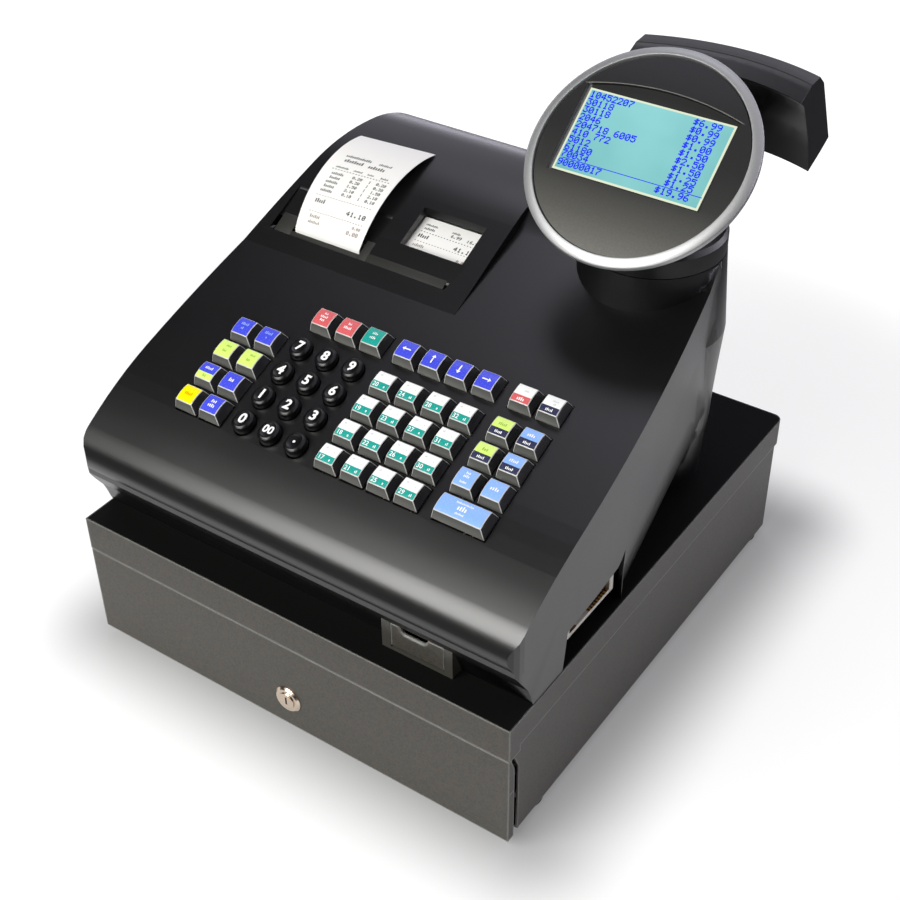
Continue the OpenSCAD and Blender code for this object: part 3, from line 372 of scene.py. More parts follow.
# above this height the lid's top is painted nearly black, as painted shade
lidTop = 0.1124   # metres, just under the lid's upper face
casePlastic = mouldedPlastic("casePlastic", **finishes["case"])
basePlastic = mouldedPlastic("basePlastic", **finishes["case"], bay=doorBay)
innerPlastic = mouldedPlastic("innerPlastic", tint(14, 14, 14), 0.5, 0.00005, 0.0004)
cabinetPaint = texturedPaint("cabinetPaint", **finishes["cabinet"])
lidPaint = texturedPaint("lidPaint", **finishes["cabinet"], top=lidTop)
zincPlate = brushedMetal("zincPlate", tint(178, 176, 168), 0.38)
nickelPlate = brushedMetal("nickelPlate", tint(226, 208, 190), 0.22)
brassFinish = brushedMetal("turnedBrass", tint(205, 165, 92), 0.3)
ironFinish = brushedMetal("laminatedIron", tint(110, 108, 104), 0.5)
footRubber = softSurface("footRubber", tint(20, 20, 20), 0.7, 700, 0.00005)
platenRubber = softSurface("platenRubber", tint(38, 38, 38), 0.6, 900, 0.00004)
naturalNylon = softSurface("naturalNylon", tint(212, 208, 196), 0.5, 700, 0.00002, 0.05)
paperFinish = softSurface("thermalPaper", tint(244, 243, 240), 0.72, 1400, 0.00001, 0.015)
ringSilver = silverPaint()
faceFinish = fasciaPlastic()
screenFinish = screenGlow()
portFinish = portPlastic()
customerFinish = boundHousing("customerPlastic", **finishes["case"])
windowFinish = lacquer("tintedWindow", tint(10, 34, 36), 0.1)
boardFinish = circuitBoard("circuitBoard", tint(16, 84, 48), tint(40, 130, 78))
keyBoardFinish = circuitBoard("keyBoard", tint(3, 3, 4), tint(8, 8, 9))
keyBlack = lacquer("keyBlack", tint(7, 7, 8), 0.3)
printWhite = lacquer("printWhite", tint(250, 250, 250), 0.4)

carried = {
    cabinetPaint: ["cabinet_shell", "drawer_front", "drawer_box", "compartment_door"],
    lidPaint: ["cabinet_lid"],
    footRubber: ["rubber_feet", "power_inlet"],
    platenRubber: ["platen_roller"],
    zincPlate: ["latch_solenoid", "latch_hook", "ejector_spring", "printer_frame", "feed_motor",
                *(f"bill_clip_{i}" for i in range(1, 6))],
    naturalNylon: ["front_rollers", "rear_rollers", "takeup_spool"],
    portFinish: ["side_connector"],
    nickelPlate: ["lock_housing", "lock_cylinder"],
    innerPlastic: ["money_tray"],
    casePlastic: ["upper_cover", "printer_cover", "turret_head", "display_housing"],
    basePlastic: ["lower_case"],
    customerFinish: ["customer_housing"],
    windowFinish: ["customer_window"],
    screenFinish: ["lcd_screen"],
    ringSilver: ["display_ring"],
    faceFinish: ["display_fascia"],
    paperFinish: ["receipt_roll", "journal_roll", "receipt_paper", "paper_webs"],
    boardFinish: ["main_board"],
    keyBoardFinish: ["key_board"],
    brassFinish: ["motor_pinion"],
    ironFinish: ["power_transformer"],
}

# ---- modelling helpers ----
def active(piece):
    bpy.ops.object.select_all(action="DESELECT")
    piece.select_set(True)
    bpy.context.view_layer.objects.active = piece
    return piece

def started(name):
    # the active object, under its own name
    piece = bpy.context.active_object
    piece.name = piece.data.name = name
    return piece

def begun(name, add, **shape):
    # a primitive of its own
    bpy.ops.object.select_all(action="DESELECT")
    add(**shape)
    return started(name)

def mode(kind):
    bpy.ops.object.mode_set(mode=kind)

def pick(action):
    bpy.ops.mesh.select_all(action=action)

def settle(piece):
    # object at the origin, unturned and unscaled, with its place in its mesh
    active(piece)
    bpy.ops.object.transform_apply(location=True, rotation=True, scale=True)
    return piece

def pickFaces(piece, test):
    # in edit mode: selects the faces whose centre and normal pass the test
    mesh = bmesh.from_edit_mesh(piece.data)
    pick("DESELECT")
    for side in mesh.faces:
        if test(side.calc_center_median(), side.normal):
            side.select_set(True)
    mesh.select_flush(True)
    bmesh.update_edit_mesh(piece.data)

def creased(places):
    # in edit mode: cuts across the piece at these y
    for along in places:
        pick("SELECT")
        bpy.ops.mesh.bisect(plane_co=(0, along, 0), plane_no=(0, 1, 0))

def applied(piece, kind, **settings):
    active(piece)
    modifier = piece.modifiers.new(kind.title(), kind)
    for name, value in settings.items():
        setattr(modifier, name, value)
    bpy.ops.object.modifier_apply(modifier=modifier.name)
    return piece

def rounded(piece, width, segments, angle, **more):
    return applied(piece, "BEVEL", width=width, segments=segments, limit_method="ANGLE",
                   angle_limit=math.radians(angle), **more)

def smoothed(piece, angle):
    active(piece)
    bpy.ops.object.shade_smooth_by_angle(angle=math.radians(angle))
    return piece

def copied(piece, name, matrix):
    twin = piece.copy()
    twin.data = piece.data.copy()
    twin.data.transform(matrix)
    twin.name = twin.data.name = name
    scene.collection.objects.link(twin)
    return twin

def joined(pieces, name):
    active(pieces[0])
    for piece in pieces:
        piece.select_set(True)
    if len(pieces) > 1:
        bpy.ops.object.join()
    return started(name)

def painted(piece, material):
    piece.data.materials.clear()
    piece.data.materials.append(material)
    return piece

def dropped(piece):
    bpy.data.objects.remove(piece)

def lettering(name, text, place, size, bold):
    # white letters, flat on the XY plane and centred on a place
    letters = begun(name, bpy.ops.object.text_add, location=(*place, 0)).data
    letters.body, letters.size, letters.offset, letters.resolution_u = text, size, bold * size, 3
    letters.align_x = letters.align_y = "CENTER"
    bpy.ops.object.convert(target="MESH")
    return painted(settle(started(name)), printWhite)

for material, names in carried.items():
    for name in names:
        painted(nodes[name], material)

# ---- shells: merged and smoothed copies of the moulded covers, which stand for them ----
print("shells")
# those with a rounded edge, and its width in metres
roundedShells = {"customer_housing": 0.0016}
shells = {
    "register": ["lower_case", "upper_cover"],
    "printer_cover": ["printer_cover"],
    "turret": ["turret_head", "customer_housing"],
    "operator_display": ["display_housing"],
}

def smoothShell(node, body):
    piece = copied(nodes[node], f"{node}_shell", Matrix())
    active(piece)
    mode("EDIT")
    pick("SELECT")
    bpy.ops.mesh.remove_doubles(threshold=0.000004)
    # flat faces become whole again, so that they shade flat up to their soft edges
    if node not in roundedShells:
        bpy.ops.mesh.dissolve_limited(angle_limit=math.radians(0.12))
    mode("OBJECT")
    if node in roundedShells:
        rounded(piece, roundedShells[node], 3, 38)
    smoothed(piece, 15)
    applied(piece, "WEIGHTED_NORMAL", keep_sharp=True, weight=50)
    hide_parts(node)
    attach(piece, body)

for body, names in shells.items():
    for node in names:
        smoothShell(node, body)

# ---- the display's silver ring, turned from its section ----
print("ring")
# radius and height above the face's back plane, millimetres
ringSection = [(70.9, 0.3), (70.9, 5.2), (71.1, 5.5), (71.5, 5.6),
               (77.0, 3.6), (77.4, 3.2), (77.5, 2.8), (77.5, 0.3)]

def displayRing():
    ring = begun("display_ring_turned", bpy.ops.mesh.primitive_circle_add, vertices=len(ringSection), radius=1)
    for v, (radius, height) in zip(ring.data.vertices, ringSection):
        v.co = (radius, 0, height)
    mode("EDIT")
    pick("SELECT")
    bpy.ops.mesh.spin(steps=160, angle=math.radians(360), center=(0, 0, 0), axis=(0, 0, 1))
    pick("SELECT")
    bpy.ops.mesh.remove_doubles(threshold=0.01)
    bpy.ops.mesh.normals_make_consistent(inside=False)
    mode("OBJECT")
    ring.data.transform(faceSpace)
    ring.data.materials.append(ringSilver)
    smoothed(ring, 40)
    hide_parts("display_ring")
    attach(ring, "operator_display")

displayRing()

# ---- function keys: clear caps over a coloured legend ----
print("function keys")
legendInk = {
    "blue": tint(72, 82, 224), "lightBlue": tint(140, 182, 250), "lime": tint(216, 244, 122),
    "yellow": tint(255, 236, 0), "red": tint(218, 100, 104), "teal": tint(34, 162, 150),
    "navy": tint(52, 54, 84), "white": tint(248, 249, 248),
}
legend = {name: lacquer(f"legend{name[0].upper()}{name[1:]}", ink, 0.24) for name, ink in legendInk.items()}
# millimetres; two steps narrow the cap above its foot, creases cross its top, and a two-colour legend
# parts at "split"
functionKey = {
    "base": 18.0, "top": 13.8, "height": 8.0, "crown": 1.0, "rim": 0.45, "round": 0.45, "pitch": 21.2,
    "foot": 1.6, "steps": ((2.6, 16.6), (4.8, 13.8)), "creases": (-4.6, -1.6, 0, 2.4, 4.8), "split": -1.6,
}
markLift = 0.11   # marks lie this far above a cap's top

def clearCap(name, colour, roughness):
    f = Finish(name, colour, {"Coat Weight": 0.6, "Coat Roughness": 0.08})
    x, y, z = f.axes()
    slope = deck["slope"]
    base = deckSpace @ Vector((0, 0, 0))
    high = ((z - base.z) * math.cos(slope) - (y - base.y) * math.sin(slope)) * 1000   # above the deck
    # painted light: each skirt is lighter towards the deck and darker towards its top
    f.feed("Base Color", f.shades(high / functionKey["height"], 1.5, 0.75))
    f.feed("Roughness", roughness + 0.05 * f.noise(500, 2))
    return f.material

# lit and shaded copies of the clear plastic: painted light on the front skirts, painted shade on the other skirts,
# and a painted highlight on the rims
litCapFront = clearCap("clearCapLitFront", tint(98, 98, 95), 0.2)
shadedCapSide = clearCap("clearCapShadedSide", tint(50, 50, 52), 0.2)
highlightCapRim = lacquer("clearCapHighlightRim", tint(206, 206, 203), 0.15)

def crownRise(y):
    # how far a cap's crowned top stands above its edge
    return functionKey["crown"] * (1 - (y / (functionKey["top"] / 2)) ** 2)

def capBlank(name, wide):
    # skirts that flare out to the deck, a crowned top and a legend set in a thin rim
    k = functionKey
    size = (k["base"] + wide, k["base"], k["foot"])
    piece = settle(begun(name, bpy.ops.mesh.primitive_cube_add, size=1, location=(0, 0, -0.2), scale=size))
    mode("EDIT")
    for rise, across in k["steps"]:
        pickFaces(piece, lambda c, n: n.z > 0.9)
        before = max(v.co.y for v in bmesh.from_edit_mesh(piece.data).verts if v.select) * 2
        bpy.ops.mesh.extrude_region_move(TRANSFORM_OT_translate={"value": (0, 0, rise)})
        narrower = ((across + wide) / (before + wide), across / before, 1)
        bpy.ops.transform.resize(value=narrower, center_override=(0, 0, 0))
    pickFaces(piece, lambda c, n: n.z > 0.9)
    bpy.ops.mesh.inset(thickness=k["rim"], depth=0)
    creased(k["creases"])
    mode("OBJECT")
    for v in piece.data.vertices:
        if v.co.z > k["height"] - 0.01:
            v.co.z += crownRise(v.co.y)
    return piece

def dressCap(piece, far, near, wide):
    # slots: front skirt, painted lit; other skirts, painted shaded; legend far part; legend near part; rim, a
    # painted highlight
    k = functionKey
    inner = k["top"] / 2 - k["rim"] - 0.01
    mesh = piece.data
    mesh.materials.clear()
    for material in (litCapFront, shadedCapSide, legend[far], legend[near], highlightCapRim):
        mesh.materials.append(material)
    for side in mesh.polygons:
        c, n = side.center, side.normal
        if n.z > 0.7 and c.z > k["height"] - 0.2:
            inside = abs(c.y) < inner and abs(c.x) < inner + wide / 2
            side.material_index = (2 if c.y > k["split"] else 3) if inside else 4
        else:
            side.material_index = 0 if n.y < -0.7 else 1
    rounded(piece, k["round"], 2, 32, material=4)
    return smoothed(piece, 30)

capWidths = {False: capBlank("capSingle", 0), True: capBlank("capDouble", functionKey["pitch"])}

def keyGroup(node, spots, colours):
    # colours: the legend's one colour, or the far and the near one
    caps = []
    for i, (spot, pair) in enumerate(zip(spots, colours)):
        wide = node == "key_total"
        cap = copied(capWidths[wide], f"{node}_cap_{i}", Matrix())
        dressCap(cap, pair[0], pair[-1], wide * functionKey["pitch"])
        cap.data.transform(deckSpace @ Matrix.Translation((*spot, 0)))
        caps.append(cap)
    piece = joined(caps, f"{node}_caps")
    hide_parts(node)
    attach(piece, node)

def gridSpots(origin, columns, rows, pitch):
    return [(origin[0] + pitch * c, origin[1] - pitch * r) for r in range(rows) for c in range(columns)]

keyPitch = functionKey["pitch"]
leftSpots = gridSpots((-114.6, 124.6), 2, 4, keyPitch)
departmentSpots = gridSpots((4.9, 125.3), 4, 4, keyPitch)
rightSpots = gridSpots((97, 126.1), 2, 3, keyPitch)
topSpots = [(left + keyPitch * c, 154) for left, count in ((-65, 3), (4.9, 4), (96.7, 2)) for c in range(count)]
totalSpot = (97 + keyPitch / 2, 126.1 - 3 * keyPitch)
keyGroup("left_keys", leftSpots,
         [["blue"]] * 2 + [["lime"]] * 2 + [["blue", "lime"], ["blue"], ["yellow"], ["blue"]])
keyGroup("top_keys", topSpots, [["red"]] * 2 + [["teal"]] + [["blue"]] * 4 + [["white", "red"], ["white", "navy"]])
keyGroup("department_keys", departmentSpots, [["white", "teal"]] * 16)
keyGroup("right_keys", rightSpots, [["lime", "navy"], ["lightBlue", "navy"]] * 2 + [["lightBlue"]] * 2)
keyGroup("key_total", [totalSpot], [["lightBlue"]])
for blank in capWidths.values():
    dropped(blank)

# ---- number keys ----
print("number keys")
# millimetres; the steps are an inset and a rise each, the last two form the dish
numberKey = {
    "width": 14.4, "length": 16.6, "pitch": 22.2, "first": (-68.5, 127.6), "digit": 10.416, "smallDigit": 8.232,
    "digitHeight": 6.0, "steps": ((0.25, 0.6), (1.3, 1.1), (0.9, 0.15), (1.3, -0.4), (2.0, -0.1)),
}

def numberBlank():
    # an oval with a stepped crown and a slightly dished top
    k = numberKey
    piece = settle(begun("numberBlank", bpy.ops.mesh.primitive_cylinder_add, vertices=64, radius=k["width"] / 2,
                         depth=5.4, location=(0, 0, 1.7)))
    stretch = (k["length"] - k["width"]) / 2
    for v in piece.data.vertices:
        v.co.y += stretch if v.co.y > 0.01 else -stretch if v.co.y < -0.01 else 0
    mode("EDIT")
    for shrink, rise in k["steps"]:
        pickFaces(piece, lambda c, n: n.z > 0.9 and abs(c.x) < 0.4 and abs(c.y) < 0.4)
        bpy.ops.mesh.inset(thickness=shrink, depth=rise)
    mode("OBJECT")
    rounded(piece, 0.3, 2, 24)
    piece.data.materials.append(keyBlack)
    return smoothed(piece, 34)

def numberKeyAt(label, spot):
    matrix = deckSpace @ Matrix.Translation((*spot, 0))
    cap = copied(numberCap, f"key_{label}_cap", matrix)
    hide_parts(f"key_{label}")
    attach(cap, f"key_{label}")
    sign, lift = (".", 2.2) if label == "point" else (label, 0)   # the point stands in the middle
    size = numberKey["smallDigit" if label == "00" else "digit"]
    digit = lettering(f"key_{label}_digit", sign, (0, 0.2), size, 0.034)
    digit.data.transform(matrix @ Matrix.Translation((0, lift, numberKey["digitHeight"])))
    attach(digit, f"key_{label}")

numberCap = numberBlank()
numberLabels = ["7", "8", "9", "4", "5", "6", "1", "2", "3", "0", "00", "point"]
for label, spot in zip(numberLabels, gridSpots(numberKey["first"], 3, 4, numberKey["pitch"])):
    numberKeyAt(label, spot)
dropped(numberCap)

# ---- legends on the function keys ----
print("legends")

def onCap(piece, spot):
    # lays a flat mark on a crowned cap top
    for v in piece.data.vertices:
        v.co.z = functionKey["height"] + crownRise(v.co.y) + markLift
    piece.data.transform(deckSpace @ Matrix.Translation((*spot, 0)))
    return piece

departmentNumbers = [20, 24, 28, 32, 19, 23, 27, 31, 18, 22, 26, 30, 17, 21, 25, 29]
for number, spot in zip(departmentNumbers, departmentSpots):
    digits = lettering(f"department_number_{number}", str(number), (-3.4, -4.2), 4.4, 0.012)
    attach(onCap(digits, spot), "department_keys")

# half the shaft's length, the head's length and its width over the shaft's
arrowShape = {"shaft": 2.3, "head": 2.0, "wide": 3.4, "creases": (-1.4, -0.4, 0.6, 1.6, 3.2)}

def arrow(name, turn):
    # a plain arrow that points up the deck, turned by the given angle
    piece = begun(name, bpy.ops.mesh.primitive_plane_add, size=1)
    piece.scale = (1.0, 2 * arrowShape["shaft"], 1)
    settle(piece)
    mode("EDIT")
    pick("DESELECT")
    mesh = bmesh.from_edit_mesh(piece.data)
    for v in mesh.verts:
        v.select_set(v.co.y > 0)
    mesh.select_flush(True)
    bmesh.update_edit_mesh(piece.data)
    shaft, head = arrowShape["shaft"], arrowShape["head"]
    for rise, wider in ((0, arrowShape["wide"]), (head, 0.05)):
        bpy.ops.mesh.extrude_region_move(TRANSFORM_OT_translate={"value": (0, rise, 0)})
        bpy.ops.transform.resize(value=(wider, 1, 1), center_override=(0, shaft + rise, 0))
    creased(arrowShape["creases"])
    mode("OBJECT")
    piece.data.transform(Matrix.Rotation(math.radians(turn), 4, "Z") @ Matrix.Translation((0, -head / 2, 0)))
    piece.data.materials.append(printWhite)
    return piece

for (side, turn), spot in zip((("left", 90), ("up", 0), ("down", 180), ("right", -90)), topSpots[3:7]):
    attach(onCap(arrow(f"arrow_{side}", turn), spot), "top_keys")

# ---- marks in place of words: rows of small blocks of uneven height ----
print("marks")
block = begun("block", bpy.ops.mesh.primitive_plane_add, size=1)
inks = {
    "white": printWhite,
    "green": lacquer("inkGreen", tint(150, 196, 62), 0.35),
    "orange": lacquer("inkOrange", tint(240, 150, 0), 0.35),
    "sky": lacquer("inkSky", tint(150, 178, 252), 0.35),
    "faint": lacquer("inkFaint", tint(206, 206, 204), 0.35),
}
# a block's pitch over its height, its width over its pitch, its growth, and the heights in turn
blocks = {"pitch": 0.56, "width": 0.58, "grown": 1.22, "heights": (1.0, 0.7, 0.7, 1.0, 0.7, 0.85)}

def placed(shape, x, y, width, height):
    # a copy of a flat shape, stretched and moved
    return copied(shape, "sign", Matrix.Translation((x, y, 0)) @ Matrix.Diagonal((width, height, 1, 1)))

def wordMarks(x, y, width, height):
    # one word's worth of blocks on a common foot line, centred on x; a block of full height is centred on y
    height = blocks["grown"] * height
    count = max(1, round(width / (blocks["pitch"] * height)))
    step = width / count
    made = []
    for i in range(count):
        tall = height * blocks["heights"][(i + count) % len(blocks["heights"])]
        left, foot = x - width / 2, y - height / 2
        made.append(placed(block, left + step * (i + 0.5), foot + tall / 2, blocks["width"] * step, tall))
    return made

def capLegend(name, body, spots, words):
    # words: (key, ink, x, y, width, height); one piece for each ink
    for ink in sorted({word[1] for word in words}):
        marks = [onCap(mark, spots[key]) for key, colour, *place in words if colour == ink
                 for mark in wordMarks(*place)]
        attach(painted(joined(marks, f"{name}_{ink}"), inks[ink]), body)

capLegend("left_legend", "left_keys", leftSpots, [
    (0, "sky", 0, 2.0, 6.4, 2.0), (0, "sky", 0, -1.8, 2.2, 1.6), (1, "sky", 0, 2.0, 6.4, 2.0),
    (1, "sky", 0.4, -1.8, 1.4, 1.6), (2, "green", 1.2, 2.4, 4.2, 1.3), (2, "green", 0.2, -1.8, 3.4, 1.7),
    (3, "green", 1.2, 2.4, 4.2, 1.3), (3, "green", 0.2, -1.8, 3.4, 1.7), (4, "white", 0, 2.4, 6.6, 1.9),
    (4, "green", 0, -4.0, 3.0, 1.7), (5, "white", 0, 0.6, 4.2, 2.3), (6, "orange", 0, 0.0, 6.4, 1.9),
    (7, "white", 0, 2.2, 4.4, 2.1), (7, "white", 0, -1.4, 5.8, 2.1)])
capLegend("top_legend", "top_keys", topSpots, [
    (0, "white", 0, 3.2, 3.0, 1.4), (0, "white", 0, 0.4, 6.0, 1.6), (0, "white", 0, -2.4, 3.8, 1.6),
    (1, "white", 0, 2.2, 3.0, 1.6), (1, "white", 0, -1.2, 6.2, 1.8), (2, "white", 0, 2.4, 4.4, 1.7),
    (2, "white", 0, -1.2, 4.8, 1.7), (7, "faint", 1.2, 2.4, 3.4, 1.3), (7, "white", 0, -4.2, 5.6, 2.0),
    (8, "faint", 1.2, 2.8, 4.2, 1.2), (8, "faint", 1.6, 0.4, 2.0, 1.2), (8, "white", 0, -4.2, 5.4, 1.6)])
capLegend("department_legend", "department_keys", departmentSpots,
          [(i, "white", 3.4, -4.2, 1.6 + 0.5 * (i % 2), 1.6) for i in range(16)]
          + [(i, "faint", 3.6, 2.0, 1.0, 1.0) for i in range(16)]
          + [(i, "faint", -3.4, 3.6, 1.6, 1.1) for i in range(16)])
capLegend("right_legend", "right_keys", rightSpots, [
    (0, "green", 0, 1.8, 6.0, 1.9), (0, "white", 0, -4.2, 5.4, 1.5), (1, "white", 0, 1.8, 5.8, 1.9),
    (1, "white", 0, -4.2, 5.4, 1.5), (2, "green", 0, 1.8, 4.4, 1.9), (2, "white", 0, -4.2, 5.6, 1.5),
    (3, "white", 0, 1.8, 6.4, 1.9), (3, "white", 0, -4.2, 5.6, 1.5), (4, "white", 0, 3.4, 3.4, 1.5),
    (4, "white", 0, 0.8, 4.4, 1.8), (4, "white", 0, -3.6, 5.0, 1.3), (5, "white", 0, 0.2, 6.4, 2.1)])
capLegend("total_legend", "key_total", [totalSpot], [
    (0, "white", 0, 3.9, 12.6, 1.2), (0, "white", 0, 0.4, 7.0, 2.9), (0, "white", 0, -3.6, 6.4, 1.2)])

# ---- dot digits for the screen and the paper ----
print("digits")
# seven rows of five dots, each row as a number from 0 to 31
dotRows = {
    "0": (14, 17, 19, 21, 25, 17, 14), "1": (4, 12, 4, 4, 4, 4, 14), "2": (14, 17, 1, 2, 4, 8, 31),
    "3": (31, 2, 4, 2, 1, 17, 14), "4": (2, 6, 10, 18, 31, 2, 2), "5": (31, 16, 30, 1, 1, 17, 14),
    "6": (6, 8, 16, 30, 17, 17, 14), "7": (31, 1, 2, 4, 8, 8, 8), "8": (14, 17, 17, 14, 17, 17, 14),
    "9": (14, 17, 17, 15, 1, 2, 12), ".": (0, 0, 0, 0, 0, 12, 12), "$": (4, 15, 20, 14, 5, 30, 4),
}
dotSize = 1.4   # dots overlap, so that strokes are solid

def dotGlyph(sign):
    # one character as flat square dots, one unit apart, with its lower left corner at the origin
    spots = [(c + 0.5, 6.5 - r) for r, row in enumerate(dotRows[sign]) for c in range(5) if row >> (4 - c) & 1]
    glyph = settle(begun("glyph", bpy.ops.mesh.primitive_plane_add, size=dotSize, location=(*spots[0], 0)))
    mode("EDIT")
    for spot in spots[1:]:
        bpy.ops.mesh.primitive_plane_add(size=dotSize, location=(*spot, 0))
    mode("OBJECT")
    return glyph

glyphs = {sign: dotGlyph(sign) for sign in dotRows}

def dotText(rows):
    # rows of (text, x, y, dot size, advance in dots, align)
    made = []
    for text, x, y, size, advance, align in rows:
        start = x - (size * (advance * len(text) - 1) if align == "RIGHT" else 0)
        for i, sign in enumerate(text):
            if sign != " ":
                made.append(placed(glyphs[sign], start + size * advance * i, y, size, size))
    return made

def printed(name, pieces, material, body, shape):
    # joins flat signs, bends them by shape and lets them ride
    piece = painted(joined(pieces, name), material)
    for v in piece.data.vertices:
        v.co = shape(v.co)
    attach(piece, body)

def screenInkFinish():
    f = Finish("screenInk", tint(20, 24, 90), {"Roughness": 0.22, "Emission Strength": 1.0})
    f.feed("Emission Color", f.between(f.noise(400, 2), tint(20, 30, 224), tint(36, 48, 248)))
    return f.material

screenRows = [("10452207", "6.99"), ("30118", "0.99"), ("30118", "0.99"), ("2046", "1.00"), ("204718 6005", "1.50"),
              ("410 772", "2.50"), ("5012", "1.50"), ("61180", "1.25"), ("70034", "1.25"), ("90000017", "19.96")]
screenText = {"dot": 0.66, "advance": 6.1, "pitch": 5.55, "top": 30.0, "left": -52.2, "right": 42.0}

def screenSigns():
    k = screenText
    rows = []
    for i, (item, amount) in enumerate(screenRows):
        y = k["top"] - k["pitch"] * i + (0.5 if i == 8 else 0)
        rows += [(item, k["left"], y, k["dot"], k["advance"], "LEFT"),
                 ("$" + amount, k["right"], y, k["dot"], k["advance"], "RIGHT")]
    return dotText(rows) + [placed(block, k["left"] + 52, k["top"] - 8.94 * k["pitch"] + 4.9, 100, 0.55)]

printed("screen_text", screenSigns(), screenInkFinish(), "operator_display",
        lambda c: faceSpace @ Vector((c.x, c.y, screen["front"] + 0.04)))

# ---- the receipt: a sheet ruled between two arcs, and what is printed on it ----
print("receipt")
# near and far: the left and the right edge's arc by its middle (y, z), its start and its turn in degrees
receipt = {
    "width": 57.5, "length": 99.0, "left": -139.8, "drift": 3.2, "radius": 72.95, "wider": 21.2,
    "thick": 0.35, "tail": 8.0, "near": (270.6, 226.1, 156, 75), "far": (281.1, 199.8, 144, 63),
}

def paperPoint(across, along, lift=0.0):
    # a point across from the left edge and up from the slot, in cabinet millimetres
    p = receipt
    t = max(0, along) / p["length"]

    def edge(arc, x, radius):
        y, z, start, turn = arc
        angle = math.radians(start - turn * t)
        return Vector((x, y + radius * math.cos(angle), z + radius * math.sin(angle)))

    x, radius = p["left"] + p["drift"] * t, p["radius"] + lift
    left, right = edge(p["near"], x, radius), edge(p["far"], x + p["width"], radius + p["wider"])
    return left.lerp(right, across / p["width"]) + Vector((0, 0, min(0, along)))

def receiptSheet():
    # the part below the slot hangs straight down to the platen
    p = receipt
    whole = p["length"] + p["tail"]
    sheet = begun("receipt_sheet", bpy.ops.mesh.primitive_grid_add, x_subdivisions=10, y_subdivisions=56, size=1,
                  location=(p["width"] / 2, whole / 2 - p["tail"], 0))
    sheet.scale = (p["width"], whole, 1)
    settle(sheet)
    for v in sheet.data.vertices:
        v.co = cabinetSpace @ paperPoint(v.co.x, v.co.y)
    applied(sheet, "SOLIDIFY", thickness=p["thick"] * 0.001, offset=-1)
    sheet.data.materials.append(paperFinish)
    smoothed(sheet, 40)
    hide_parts("receipt_paper")
    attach(sheet, "printer_cover")

receiptSheet()
printInk = softSurface("printInk", tint(40, 37, 40), 0.7, 900, 0.000005, 0.35)
paleInk = softSurface("paleInk", tint(150, 132, 122), 0.7, 900, 0.000005, 0.35)

def dotted(y, left, right, count):
    step = (right - left) / (count - 1)
    return [placed(block, left + step * i, y, 1.0, 0.6) for i in range(count)]

def words(*rows):
    return [mark for row in rows for mark in wordMarks(*row)]

def receiptSigns():
    # from the free end: two lines of words, a heading, five items, the sum
    dark = words((19, 68, 20, 2.2), (40, 67.6, 10, 1.8), (18, 63.2, 15, 2.6), (36, 62.8, 13, 2.6),
                 (13.5, 55.6, 10, 1.5), (26, 55.6, 7, 1.3), (36, 55.6, 5, 1.3), (47, 55.4, 6, 1.4))
    dark += dotted(53.0, 7.5, 51.5, 20)
    for i, amount in enumerate(("0.20", "0.30", "1.50", "2.10", "0.10")):
        y = (48.4, 44.6, 40.8, 37.0, 33.2)[i]
        dark += wordMarks(13.5 - 0.2 * i, y + 0.9, 8.4 if i % 2 else 9.6, 1.9)
        dark += dotText([(amount, 33, y, 0.32, 6.2, "RIGHT"), ("1", 38.5, y, 0.30, 6, "LEFT"),
                         (amount, 52, y, 0.32, 6.2, "RIGHT")])
    dark += dotText([("41.10", 52, 20.4, 0.48, 6.8, "RIGHT")]) + wordMarks(12.2, 25.4, 8.4, 2.7)
    pale = dotted(29.6, 7.5, 51.5, 20) + dotted(16.6, 7.5, 51.5, 20)
    pale += words((13, 13.2, 8.6, 2.1), (13.6, 8.8, 10, 1.8))
    return dark, pale + dotText([("0.00", 52, 7.6, 0.40, 6.4, "RIGHT"), ("0.00", 52, 12.2, 0.28, 6.2, "RIGHT")])

def onReceipt(c):
    return cabinetSpace @ paperPoint(c.x, c.y, 0.06)

darkSigns, paleSigns = receiptSigns()
printed("receipt_print", darkSigns, printInk, "printer_cover", onReceipt)
printed("receipt_print_pale", paleSigns, paleInk, "printer_cover", onReceipt)

# the journal under its window, from its lower left corner
journalSpace = leaning((-60.5, 219.0, 253.9), math.atan2(13.7, 34.0))

def journalSigns():
    dark = words((12, 31.0, 10, 1.5), (33, 31.0, 7, 1.5), (12, 27.6, 9, 1.8))
    dark += dotText([("6.99", 39, 26.6, 0.36, 6.2, "RIGHT"), ("1", 44, 26.6, 0.32, 6, "LEFT"),
                     ("6.99", 55, 26.6, 0.36, 6.2, "RIGHT")])
    dark += dotted(24.2, 7, 54, 20) + wordMarks(11, 20.4, 9, 2.7)
    dark += dotText([("41.10", 55, 16.9, 0.50, 6.8, "RIGHT")])
    pale = dotted(15.4, 7, 54, 20) + words((12, 11.8, 9.6, 2.1), (13, 7.8, 11, 1.6))
    return dark, pale + dotText([("0.00", 54, 8.2, 0.32, 6.4, "RIGHT")])

def onJournal(c):
    return journalSpace @ Vector((c.x, c.y, 0.2))

darkSigns, paleSigns = journalSigns()
printed("journal_print", darkSigns, printInk, "register", onJournal)
printed("journal_print_pale", paleSigns, paleInk, "register", onJournal)
for spare in [block, *glyphs.values()]:
    dropped(spare)

# ---- the sloping floor in front of the paper slot ----
print("tear lip")
